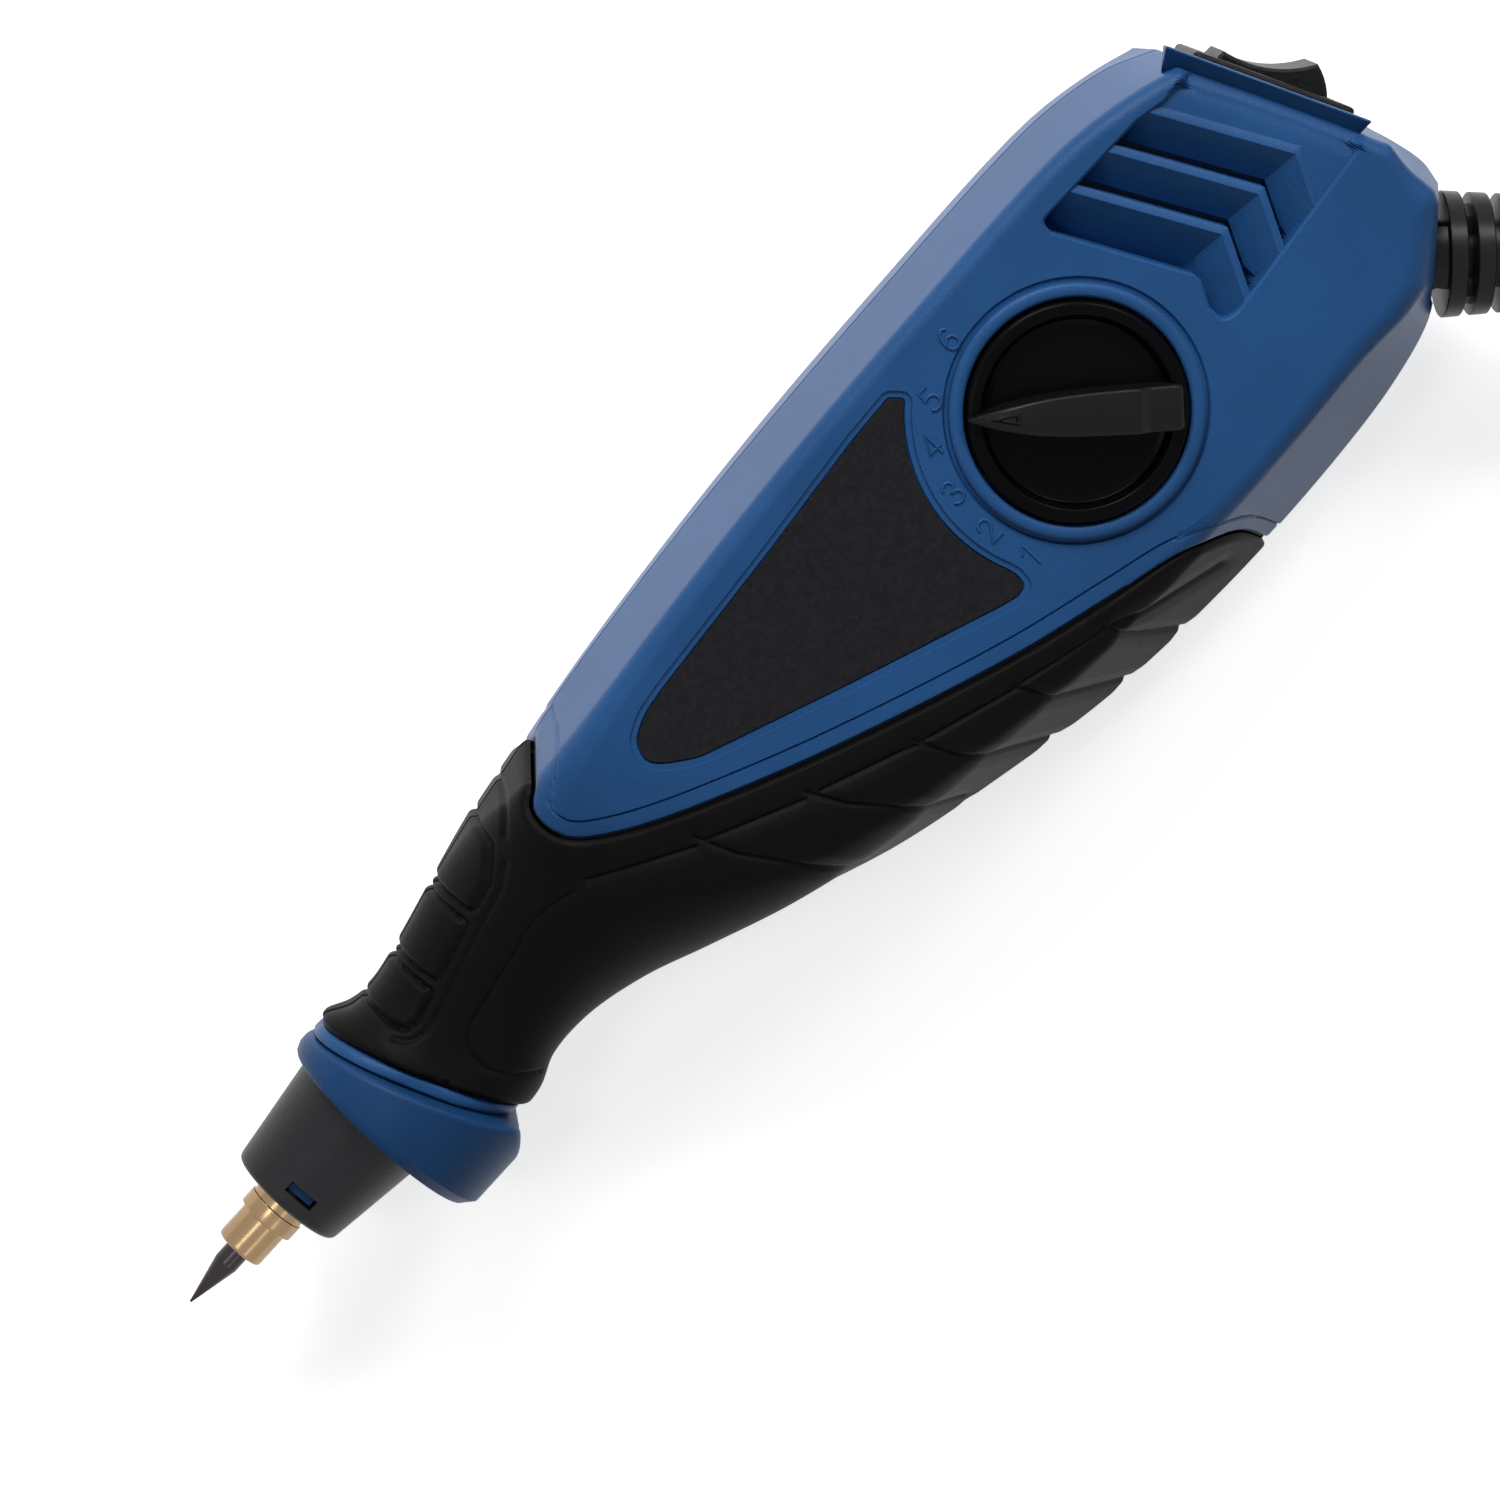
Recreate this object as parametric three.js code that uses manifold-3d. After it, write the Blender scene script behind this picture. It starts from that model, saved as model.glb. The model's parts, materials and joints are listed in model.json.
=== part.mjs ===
// Electric engraving pen: a carbide bit shaken by a solenoid, in a two-part housing with a rubber
// grip, a stroke dial, a rocker switch and a mains cord.
// Millimetres. The pen lies on its flat screw side with the dial on top: +X runs from the bit to
// the rear, +Y towards the straight back, -Y towards the round belly, +Z out of the dial.

import * as THREE from 'three';
import { mergeVertices } from 'three/addons/utils/BufferGeometryUtils.js';
import Module from 'manifold-3d';

const wasm = await Module();
wasm.setup();

// Driving sizes of the whole pen.
const overallLength = 192.5;
const bodyWidth = 53;
const halfThickness = 19;

// Walls, gaps and cuts.
const partingGap = 0.3;
const clearance = 0.3;
const runningGap = 0.3;
const shellWall = 2.1;
const rubberThickness = 1.6;
const gripProud = 0.4;
const overrun = 6;
const weldDistance = 0.0001;
const mitreLimitShare = 0.5;

// Sides of the round pieces, by their size.
const largeSides = 32;
const middleSides = 24;
const smallSides = 14;

// Stations along the bit's axis, as shares of the overall length.
const chuckFrontShare = 0.044;
const chuckFlangeShare = 0.068;
const noseFrontShare = 0.086;
const bushFrontShare = 0.107;
const bushRearShare = 0.164;
const collarFrontShare = 0.156;
const noseRearShare = 0.171;
const gripFrontShare = 0.203;
const mainCavityShare = 0.305;
const springFrontShare = 0.33;
const webFrontShare = 0.402;
const yokeFrontShare = 0.463;
const yokeRearShare = 0.634;
const coreFrontShare = 0.52;
const dialStationShare = 0.754;

// Outlines at the parting plane, front to rear: station as a share of the overall length, then
// distance from the bit's axis as a share of the body's width, then how far the flank leans in
// and the radius of its ridge as shares of the half thickness.
const backShares = [
  [0.156, 0.208, 0, 0.558],
  [0.184, 0.206, 0, 0.547],
  [0.2, 0.175, 0, 0.474],
  [0.218, 0.168, 0, 0.463],
  [0.239, 0.179, 0, 0.484],
  [0.26, 0.196, 0, 0.505],
  [0.291, 0.223, 0, 0.542],
  [0.332, 0.253, 0.032, 0.5],
  [0.374, 0.277, 0.084, 0.263],
  [0.426, 0.308, 0.116, 0.158],
  [0.488, 0.332, 0.116, 0.116],
  [0.561, 0.353, 0.111, 0.105],
  [0.644, 0.368, 0.105, 0.105],
  [0.738, 0.377, 0.105, 0.105],
  [0.831, 0.381, 0.105, 0.105],
  [0.873, 0.372, 0.105, 0.105],
  [0.914, 0.338, 0.095, 0.105],
  [0.942, 0.287, 0.053, 0.095],
  [0.968, 0.06, 0.042, 0.084],
  [0.993, -0.162, 0.047, 0.095],
  [0.998, -0.23, 0.132, 0.158],
];
const bellyShares = [
  [0.156, -0.243, 0, 0.568],
  [0.184, -0.243, 0, 0.568],
  [0.2, -0.243, 0, 0.558],
  [0.218, -0.243, 0, 0.521],
  [0.239, -0.238, 0, 0.489],
  [0.26, -0.209, 0, 0.495],
  [0.291, -0.206, 0, 0.537],
  [0.332, -0.236, 0, 0.605],
  [0.374, -0.294, 0.053, 0.632],
  [0.426, -0.375, 0.158, 0.579],
  [0.488, -0.464, 0.289, 0.474],
  [0.561, -0.532, 0.395, 0.368],
  [0.644, -0.591, 0.458, 0.263],
  [0.738, -0.617, 0.495, 0.184],
  [0.831, -0.613, 0.5, 0.158],
  [0.894, -0.591, 0.474, 0.168],
  [0.935, -0.553, 0.368, 0.189],
  [0.957, -0.502, 0.263, 0.211],
  [0.978, -0.432, 0.211, 0.211],
  [0.998, -0.362, 0.184, 0.211],
  [1.001, -0.306, 0.158, 0.2],
];
const switchFaceRows = [17, 19];
const cordFaceRows = [17, 19];
const arcSteps = 3;

// Half thickness along the pen: station share, then share of the full half thickness.
const thicknessShares = [
  [0.156, 0.589], [0.2, 0.584], [0.218, 0.521], [0.239, 0.495], [0.26, 0.511], [0.291, 0.579],
  [0.332, 0.716], [0.374, 0.858], [0.405, 0.942], [0.436, 0.989], [0.468, 1],
];

// Edge of the rubber on the blue side face, in plan: station share and width share.
const gripEdgeShares = [
  [0.389, 0.33], [0.372, 0.26], [0.366, 0.221], [0.365, 0.17], [0.371, 0.117], [0.393, 0.053],
  [0.471, -0.091], [0.538, -0.196], [0.629, -0.319], [0.692, -0.385], [0.733, -0.43],
  [0.752, -0.475], [0.767, -0.532], [0.776, -0.66],
];
const gripFrontSlope = 0.356;
const gripReachShare = 0.7;
const shoulderWidth = 1.5;

// Nose: collar, cone, spigot and its snap tab.
const collarRadius = 13.8;
const collarOffset = 2.8;
const collarEdge = 1.2;
const collarChamferShare = 0.287;
const neckBaseRadius = 8;
const spigotRadius = 6.2;
const spigotBore = 4.6;
const noseFrontRadius = 7.2;
const noseRearRadius = 9.4;
const noseEdge = 0.9;
const noseEndWall = 1.2;
const noseOpening = 4.2;
const windowLength = 1.4;
const windowWidth = 3.8;
const windowInset = 1.9;
const tabHeight = 0.6;

// Moving train: bit, chuck, rod, spring collar, solenoid core and cap.
const stroke = 1.5;
const bitRadius = 1.5;
const bitLength = 30;
const bitPointLength = 6.2;
const bitPointRadius = 0.12;
const bitFlatDepth = 0.7;
const bitFlatLength = 17;
const chuckRadius = 3;
const chuckFlangeRadius = 3.6;
const chuckFlangeLength = 2;
const chuckBackRadius = 3.4;
const chuckTailRadius = 2.9;
const chuckEdge = 0.4;
const chuckEndWall = 2.2;
const grubRadius = 1.2;
const grubLength = 1.6;
const grubOffset = 2.2;
const rodRadius = 2;
const springCollarLength = 2;
const springRadius = 4.4;
const springWire = 0.6;
const springTurns = 5;
const springWireSides = 5;
const springStepsPerTurn = 8;
const bushWall = 1.1;
const coreRadius = 4.2;
const capRadius = 3;
const capSeatLength = 2.6;

// Solenoid and the ribs that hold it.
const webThickness = 3;
const guideBushWall = 2.1;
const guideBushLength = 5;
const yokePlate = 3;
const yokeHalfDepth = 6.6;
const yokeReach = 11.4;
const yokeDrop = 14.4;
const bobbinWall = 1.3;
const bobbinFlange = 10.9;
const bobbinFlangeWall = 1.6;
const windingRadius = 10.4;
const ribHalfWidth = 4;
const ribThickness = 2.2;

// Stroke dial.
const dialDropShare = 0.053;
const ringRadius = 14.4;
const ringWall = 1.6;
const ringHeight = 1;
const ringEdge = 0.4;
const knobRadius = 12.5;
const knobRimWidth = 2;
const knobFloorWall = 1.9;
const knobRimHeight = 1.6;
const knobBarHeight = 4.6;
const wellDepth = 2.6;
const shaftRadius = 2.9;
const shaftCollarRadius = 5.6;
const shaftCollarHeight = 1.2;
const washerThickness = 0.5;
const camRadius = 9;
const camOffset = 2;
const camHalfHeight = 4;
const dialScrewRadius = 1.1;
const dialScrewHead = 2.4;
const dialScrewHeadHeight = 1.8;
const knobSeat = 1.6;
const pointerAngle = THREE.MathUtils.degToRad(-44.2);
const barShares = [
  [-0.95, 0], [-0.56, -0.13], [-0.28, -0.18], [0, -0.19], [0.76, -0.21],
  [0.76, 0.21], [0, 0.19], [-0.28, 0.18], [-0.56, 0.13],
];

// Label plate in its pocket, in plan, closed by an arc round the dial.
const labelShares = [
  [0.692, 0.234], [0.686, 0.26], [0.655, 0.255], [0.572, 0.226], [0.474, 0.198], [0.455, 0.189],
  [0.44, 0.162], [0.436, 0.119], [0.442, 0.089], [0.458, 0.043], [0.551, -0.092],
  [0.642, -0.217], [0.652, -0.228], [0.659, -0.223], [0.66, -0.194],
];
const labelArcRadius = 19.4;
const labelArcSteps = 8;
const labelPocketDepth = 1;
const labelThickness = 0.5;

// Vent pocket with three sloped fins.
const ventShares = [
  [0.821, 0.275], [0.82, 0.243], [0.858, -0.043], [0.858, -0.062], [0.85, -0.115],
  [0.85, -0.149], [0.853, -0.158], [0.859, -0.162], [0.976, -0.117], [0.931, 0.294],
];
const finRidgeShares = [[0.913, 0.33], [0.952, -0.03], [0.936, -0.2]];
const finPitchShare = 0.0312;
const finCount = 3;
const ventDepth = 3.2;
const finTop = 0.3;
const finRidgeWidth = 1.1;
const finRun = 4.6;
const slotWidth = 1.1;

// Switch in the slanted rear face.
const lipHeight = 0.9;
const lipSeat = 1.2;
const lipHalfLength = 13;
const bezelLength = 21;
const bezelWidth = 15.4;
const bezelHeight = 1.5;
const switchBodyLength = 18.8;
const switchBodyWidth = 12.9;
const switchBodyDepth = 14;
const rockerRadius = 7.2;
const rockerHalfWidth = 5.1;
const rockerPivotDepth = 1;
const rockerSideGap = 0.35;
const rockerTilt = THREE.MathUtils.degToRad(12);
const rockerLowAngle = THREE.MathUtils.degToRad(-22);
const rockerHighAngle = THREE.MathUtils.degToRad(41);
const rockerDip = 1.2;
const rockerSteps = 4;
const trunnionRadius = 1;
const terminalLength = 6;
const terminalWidth = 4.6;
const terminalThickness = 0.8;
const terminalSpacing = 8;

// Strain relief in the cord face.
const reliefPlaceShare = 0.24;
const reliefRootRadius = 5.9;
const reliefRibRadius = 7.3;
const reliefEndRootRadius = 3.9;
const reliefEndRibRadius = 4.7;
const reliefRibs = 12;
const reliefPitch = 3.15;
const reliefRibLength = 2;
const reliefNeckRadius = 5.2;
const reliefNeckLength = 3.7;
const reliefFlangeRadius = 6.4;
const reliefFlangeLength = 2;
const tailLength = 4;

// Housing screws, in plan, and their bosses.
const screwShares = [[0.431, 0.16], [0.68, -0.283], [0.68, 0.25], [0.81, 0.255], [0.873, -0.405]];
const screwRadius = 1.3;
const screwHeadRadius = 2.6;
const screwHeadHeight = 2;
const screwLedge = 8;
const screwReach = 9;
const bossRadius = 3.4;
const bossHeadWall = 1.1;

// Leads inside the housing. The bends between a lead's two ends are shares of the length, the
// width and the half thickness.
const leadRadius = 0.8;
const leadSides = 6;
const leadStepsPerPoint = 2;
const leadSpread = 1.3;
const leadStart = 3;
const leadEndGap = 1.5;
const leadEndDepth = 10.7;
const leadEndReach = 5.6;
const loadShares = [
  [0.856, 0.09, -0.14], [0.831, 0.14, -0.32], [0.779, 0.165, -0.45],
  [0.717, 0.142, -0.47], [0.675, 0.113, -0.5], [0.642, 0.106, -0.55],
];
const neutralShares = [
  [0.899, -0.258, -0.18], [0.873, -0.264, -0.32], [0.821, -0.264, -0.42],
  [0.769, -0.254, -0.47], [0.717, -0.179, -0.5], [0.675, -0.128, -0.53], [0.642, -0.109, -0.55],
];

// Cord of 1.8 m: a short drop from the strain relief, a coil in two layers, and a plug, with
// places in plan from the strain relief's end. The third value of the drop's points is a share of
// the height between the coil's top layer and the middle of the pen.
const cordRadius = 3;
const cordSides = 8;
const coilCentre = [58.866, 13.661];
const coilMeanRadius = 34;
const coilTurns = 7.86;
const coilPitch = 6.5;
const coilHeight = 3.1;
const coilStart = THREE.MathUtils.degToRad(241.447);
const coilStepsPerTurn = 24;
const coilSides = 6;
const coilTurnback = 0.1;
const coilSamples = 4;
const climbHalfTurn = 0.25;
const dropRoute = [
  [0.205, -0.219, 1], [4.11, -4.371, 1], [6.914, -7.223, 0.962], [10.577, -10.626, 0.827],
  [14.405, -13.842, 0.631], [18.389, -16.863, 0.412], [22.518, -19.68, 0.209],
  [26.784, -22.288, 0.059], [30.686, -24.427, 0],
];
const plugRoute = [
  [14.023, -1.511, 3.1], [14.651, -5.158, 3.23], [15.239, -8.566, 3.52], [15.806, -11.977, 3.95],
  [15.96, -15.428, 4.49], [15.546, -18.857, 5.1], [14.576, -22.173, 5.77],
  [13.075, -25.284, 6.44], [11.085, -28.107, 7.11], [8.659, -30.566, 7.73],
  [5.863, -32.594, 8.28], [2.772, -34.136, 8.73], [-0.53, -35.151, 9.04], [-3.954, -35.611, 9.19],
  [-7.653, -35.647, 9.2],
];

// Two-blade plug, lying on its flat side with its blades towards -X.
const plugEntry = [-7.953, -35.648];
const plugHalfHeight = 9.2;
const plugNoseLength = 15;
const plugNoseRadius = 4.2;
const plugNoseRearRadius = 5.6;
const plugOutlineShares = [
  [0, 0.55], [0.1, 0.8], [0.35, 0.78], [0.6, 0.8], [0.75, 1], [1, 1],
  [1, -1], [0.75, -1], [0.6, -0.8], [0.35, -0.78], [0.1, -0.8], [0, -0.55],
];
const plugBodyLength = 26;
const plugHalfWidth = 12.2;
const plugEdge = 1.6;
const bladeLength = 17;
const bladeHalfHeight = 3.1;
const bladeThickness = 1.5;
const bladeSpacing = 12.7;
const bladeRoot = 3;

const bluePlastic = finish(0x2a5a94, 0.48, 0);
const rubber = finish(0x17181b, 0.72, 0);
const blackPlastic = finish(0x121315, 0.4, 0);
const labelFilm = finish(0x1c1d21, 0.62, 0);
const brass = finish(0xc99a62, 0.28, 1);
const carbide = finish(0x8d9196, 0.22, 1);
const steel = finish(0xb4b8bc, 0.35, 1);
const laminations = finish(0x5f6468, 0.5, 0.9);
const bronze = finish(0xa8794a, 0.4, 1);
const nylon = finish(0xe8e4d8, 0.55, 0);
const enamelledCopper = finish(0xb5602f, 0.38, 0.8);
const liveSleeve = finish(0x6b3a22, 0.5, 0);
const neutralSleeve = finish(0x2b4f9c, 0.5, 0);

function finish(color, roughness, metalness) {
  return new THREE.MeshStandardMaterial({ color, roughness, metalness });
}

function station(share) {
  return share * overallLength;
}

function plan(shares) {
  return shares.map(([x, y]) => new THREE.Vector2(x * overallLength, y * bodyWidth));
}

// Welds a geometry, drops triangles of no area and turns its faces outward.
function closed(geometry) {
  const bare = geometry.clone();
  bare.deleteAttribute('normal');
  bare.deleteAttribute('uv');
  const welded = mergeVertices(bare, weldDistance);
  const order = welded.index.array;
  const place = welded.attributes.position;
  const kept = [];
  let volume = 0;
  const corner = [new THREE.Vector3(), new THREE.Vector3(), new THREE.Vector3()];
  for (let i = 0; i < order.length; i += 3) {
    const [a, b, c] = [order[i], order[i + 1], order[i + 2]];
    if (a === b || b === c || c === a) continue;
    kept.push(a, b, c);
    [a, b, c].forEach((vertex, k) => corner[k].fromBufferAttribute(place, vertex));
    volume += corner[0].dot(corner[1].clone().cross(corner[2]));
  }
  if (volume < 0) kept.reverse();
  welded.setIndex(kept);
  return welded;
}

function toSolid(geometry) {
  const shape = closed(geometry);
  const vertProperties = new Float32Array(shape.attributes.position.array);
  const triVerts = new Uint32Array(shape.index.array);
  return new wasm.Manifold(new wasm.Mesh({ numProp: 3, vertProperties, triVerts }));
}

function toGeometry(solid) {
  const { vertProperties, triVerts } = solid.getMesh();
  const geometry = new THREE.BufferGeometry();
  geometry.setAttribute('position', new THREE.BufferAttribute(vertProperties, 3));
  geometry.setIndex(new THREE.BufferAttribute(triVerts, 1));
  return geometry;
}

// A mesh whose faces are shaded flat, from a geometry or from a cut solid.
function piece(name, shape, material) {
  const geometry = shape.isBufferGeometry ? closed(shape) : toGeometry(shape);
  const shaded = geometry.toNonIndexed();
  shaded.computeVertexNormals();
  const mesh = new THREE.Mesh(shaded, material);
  mesh.name = name;
  return mesh;
}

function prism(points, low, high) {
  const shape = new THREE.Shape(points);
  const geometry = new THREE.ExtrudeGeometry(shape, { depth: high - low, bevelEnabled: false });
  geometry.translate(0, 0, low);
  return geometry;
}

function block(x0, x1, y0, y1, z0, z1) {
  const geometry = new THREE.BoxGeometry(x1 - x0, y1 - y0, z1 - z0);
  geometry.translate((x0 + x1) / 2, (y0 + y1) / 2, (z0 + z1) / 2);
  return geometry;
}

// Turned piece along +X from a profile of [station, radius] pairs.
function turned(profile, sides) {
  const points = profile.map(([x, r]) => new THREE.Vector2(r, x));
  const geometry = new THREE.LatheGeometry(points, sides);
  geometry.rotateZ(-Math.PI / 2);
  return geometry;
}

// Turned piece along +Z from a profile of [height, radius] pairs.
function turnedUp(profile, sides) {
  const geometry = turned(profile, sides);
  geometry.rotateY(-Math.PI / 2);
  return geometry;
}

function bar(radius, from, to, sides = smallSides) {
  return turned([[from, 0], [from, radius], [to, radius], [to, 0]], sides);
}

function post(radius, low, high, sides = smallSides) {
  return turnedUp([[low, 0], [low, radius], [high, radius], [high, 0]], sides);
}

function sleeve(inner, outer, from, to, sides = smallSides) {
  return turned([[from, inner], [from, outer], [to, outer], [to, inner], [from, inner]], sides);
}

// The outline moved outward by a distance, corner by corner.
function grown(points, distance) {
  const turn = THREE.ShapeUtils.isClockWise(points) ? 1 : -1;
  const count = points.length;
  return points.map((point, i) => {
    const before = point.clone().sub(points[(i + count - 1) % count]).normalize();
    const after = points[(i + 1) % count].clone().sub(point).normalize();
    const out = new THREE.Vector2(-before.y - after.y, before.x + after.x).normalize();
    const reach = distance / Math.max(mitreLimitShare, -out.x * before.y + out.y * before.x);
    return point.clone().addScaledVector(out, turn * reach);
  });
}

function thicknessAt(x) {
  const share = x / overallLength;
  const last = thicknessShares[thicknessShares.length - 1];
  if (share >= last[0]) return halfThickness * last[1];
  const next = Math.max(1, thicknessShares.findIndex(row => row[0] > share));
  const [x0, h0] = thicknessShares[next - 1];
  const [x1, h1] = thicknessShares[next];
  return halfThickness * THREE.MathUtils.mapLinear(share, x0, x1, h0, h1);
}

// Section of a flank: pairs of distance inward and height, from the parting plane to the face.
function flank(height, lean, round, bottom) {
  const tilt = Math.atan2(lean, height);
  const room = (height - Math.max(bottom, 0)) / Math.cos(tilt) - weldDistance;
  const half = Math.tan((Math.PI / 2 - tilt) / 2);
  const radius = Math.min(round, room / half);
  const reach = radius * half;
  const levels = bottom < 0 ? [[0, bottom], [0, 0]] : [[lean * bottom / height, bottom]];
  for (let i = 0; i <= arcSteps; i++) {
    const angle = THREE.MathUtils.mapLinear(i, 0, arcSteps, Math.PI - tilt, Math.PI / 2);
    const inward = lean + reach + radius * Math.cos(angle);
    levels.push([inward, height - radius + radius * Math.sin(angle)]);
  }
  return levels;
}

// One half of the housing's outer form, drawn in by the inset on every side, from the height
// called bottom up to the side face; side -1 mirrors it below the parting plane.
function halfForm(inset, bottom, side) {
  const ring = [...backShares, ...[...bellyShares].reverse()];
  const corners = plan(ring);
  const count = ring.length;
  const rings = ring.map((row, j) => {
    const along = corners[Math.min(j + 1, count - 1)].clone().sub(corners[Math.max(j - 1, 0)]);
    const inward = new THREE.Vector2(along.y, -along.x).normalize();
    const height = thicknessAt(corners[j].x) - inset;
    const lean = row[2] * halfThickness;
    const round = Math.max(row[3] * halfThickness - inset, clearance);
    return flank(height, lean, round, bottom).map(([reach, z]) => {
      const point = corners[j].clone().addScaledVector(inward, inset + reach);
      return [point.x, point.y, z * side];
    });
  });
  const levels = rings[0].length;
  const positions = [];
  for (let level = 0; level < levels; level++) {
    rings.forEach(points => positions.push(...points[level]));
  }
  const at = (level, j) => level * count + (j % count);
  const faces = [];
  for (let level = 0; level + 1 < levels; level++) {
    for (let j = 0; j < count; j++) {
      faces.push(at(level, j), at(level + 1, j), at(level, j + 1));
      faces.push(at(level + 1, j), at(level + 1, j + 1), at(level, j + 1));
    }
  }
  const top = levels - 1;
  for (let i = 0; i + 1 < count / 2; i++) {
    const [back, nextBack, belly, nextBelly] = [i, i + 1, count - 1 - i, count - 2 - i];
    faces.push(at(top, back), at(top, belly), at(top, nextBelly));
    faces.push(at(top, back), at(top, nextBelly), at(top, nextBack));
    faces.push(at(0, back), at(0, nextBelly), at(0, belly));
    faces.push(at(0, back), at(0, nextBack), at(0, nextBelly));
  }
  const geometry = new THREE.BufferGeometry();
  geometry.setAttribute('position', new THREE.Float32BufferAttribute(positions, 3));
  geometry.setIndex(faces);
  return toSolid(geometry);
}

// Distances beyond every face of the pen, for slabs of space.
const farOut = bodyWidth;
const farRear = overallLength + bodyWidth;

// A slab of space along the pen, on one side of the parting plane.
function halfSlab(x0, x1, z0, side) {
  const [low, high] = side > 0 ? [z0, farOut] : [-farOut, -z0];
  return toSolid(block(x0, x1, -farOut, farOut, low, high));
}

// A slab between two lines across the pen that lean the way the grip's front edge does.
function slantedSlab(x0, x1) {
  const slant = farOut * gripFrontSlope;
  return toSolid(prism([
    new THREE.Vector2(x0 - slant, farOut),
    new THREE.Vector2(x0 + slant, -farOut),
    new THREE.Vector2(x1 + slant, -farOut),
    new THREE.Vector2(x1 - slant, farOut),
  ], -farOut, farOut));
}

// Places on the pen that several pieces share.
const gripFront = station(gripFrontShare);
const shoulderFront = gripFront - clearance - shoulderWidth;
const coreInset = rubberThickness + clearance;
const cavityInset = coreInset + shellWall;
const dialCentre = new THREE.Vector2(station(dialStationShare), -dialDropShare * bodyWidth);
const capRear = dialCentre.x - camRadius - camOffset - stroke - runningGap;

function faceOf(shares, rows, place) {
  const [start, end] = plan(rows.map(row => shares[row]));
  const centre = start.clone().lerp(end, place);
  const along = end.clone().sub(start);
  return { centre, length: along.length(), angle: Math.atan2(along.x, -along.y) };
}

const switchFace = faceOf(backShares, switchFaceRows, 0.5);
const cordFace = faceOf(bellyShares, cordFaceRows, reliefPlaceShare);
cordFace.angle -= Math.PI;

// Moves a shape from a rear face's own frame, +X outward, to the pen's frame.
function onFace(geometry, face) {
  geometry.rotateZ(face.angle);
  geometry.translate(face.centre.x, face.centre.y, 0);
  return geometry;
}

function gripOutline() {
  const reach = gripReachShare * bodyWidth;
  const edge = plan(gripEdgeShares);
  const rearCorner = new THREE.Vector2(edge[edge.length - 1].x, -reach);
  const frontCorner = new THREE.Vector2(gripFront + reach * gripFrontSlope, -reach);
  const backCorner = new THREE.Vector2(gripFront - reach * gripFrontSlope, reach);
  const spikeCorner = new THREE.Vector2(edge[0].x, reach);
  return [spikeCorner, ...edge, rearCorner, frontCorner, backCorner];
}

function labelOutline() {
  const points = plan(labelShares);
  const last = points[points.length - 1].clone().sub(dialCentre).angle();
  const first = points[0].clone().sub(dialCentre).angle();
  for (let i = 1; i < labelArcSteps; i++) {
    const angle = THREE.MathUtils.mapLinear(i, 0, labelArcSteps, last, first);
    const spoke = new THREE.Vector2(Math.cos(angle), Math.sin(angle));
    points.push(dialCentre.clone().addScaledVector(spoke, labelArcRadius));
  }
  return points;
}

const screwPlaces = plan(screwShares);

// Boss of one housing screw on one side, from the parting plane to the shell's outer wall.
function screwBoss(place, side) {
  const [low, high] = side > 0 ? [partingGap / 2, farOut] : [-screwLedge, -partingGap / 2];
  const slim = post(bossRadius, low, high);
  slim.translate(place.x, place.y, 0);
  if (side > 0) return toSolid(slim);
  const wide = post(screwHeadRadius + clearance + bossHeadWall, -farOut, -screwLedge + shellWall);
  wide.translate(place.x, place.y, 0);
  return toSolid(slim).add(toSolid(wide));
}

// Hole of one housing screw: blind in the dial side, through with a counterbore in the other.
function screwHole(place, side) {
  const [low, high] = side > 0 ? [-overrun, screwReach + clearance] : [-farOut, overrun];
  const shank = post(screwRadius + clearance, low, high);
  shank.translate(place.x, place.y, 0);
  if (side > 0) return toSolid(shank);
  const head = post(screwHeadRadius + clearance, -farOut, -screwLedge);
  head.translate(place.x, place.y, 0);
  return toSolid(shank).add(toSolid(head));
}

function housingScrew(place) {
  const headTop = -screwLedge - clearance;
  const screw = turnedUp([
    [headTop - screwHeadHeight, 0],
    [headTop - screwHeadHeight, screwHeadRadius],
    [headTop, screwHeadRadius],
    [headTop, screwRadius],
    [screwReach, screwRadius],
    [screwReach, 0],
  ], smallSides);
  screw.translate(place.x, place.y, 0);
  return screw;
}

// Ribs inside one shell: the web round the guide bush, and pads on the solenoid's end plates.
function innerRibs(side) {
  const webFront = station(webFrontShare);
  const web = halfSlab(webFront, webFront + webThickness, partingGap / 2, side);
  const padStart = yokeHalfDepth + clearance;
  const pads = [station(yokeFrontShare), station(yokeRearShare)].map(front => {
    const middle = front + yokePlate / 2;
    const [low, high] = side > 0 ? [padStart, farOut] : [-farOut, -padStart];
    const half = ribThickness / 2;
    return toSolid(block(middle - half, middle + half, -ribHalfWidth, ribHalfWidth, low, high));
  });
  return pads.reduce((sum, pad) => sum.add(pad), web);
}

// Bore along the bit's axis: spigot, web hole and clearance for the rod between them.
function axialBore() {
  const guideHole = rodRadius + runningGap + guideBushWall + clearance;
  const front = toSolid(bar(spigotBore, 0, station(mainCavityShare) + overrun));
  const web = station(webFrontShare);
  return front.add(toSolid(bar(guideHole, web - overrun, web + webThickness + overrun)));
}

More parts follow.
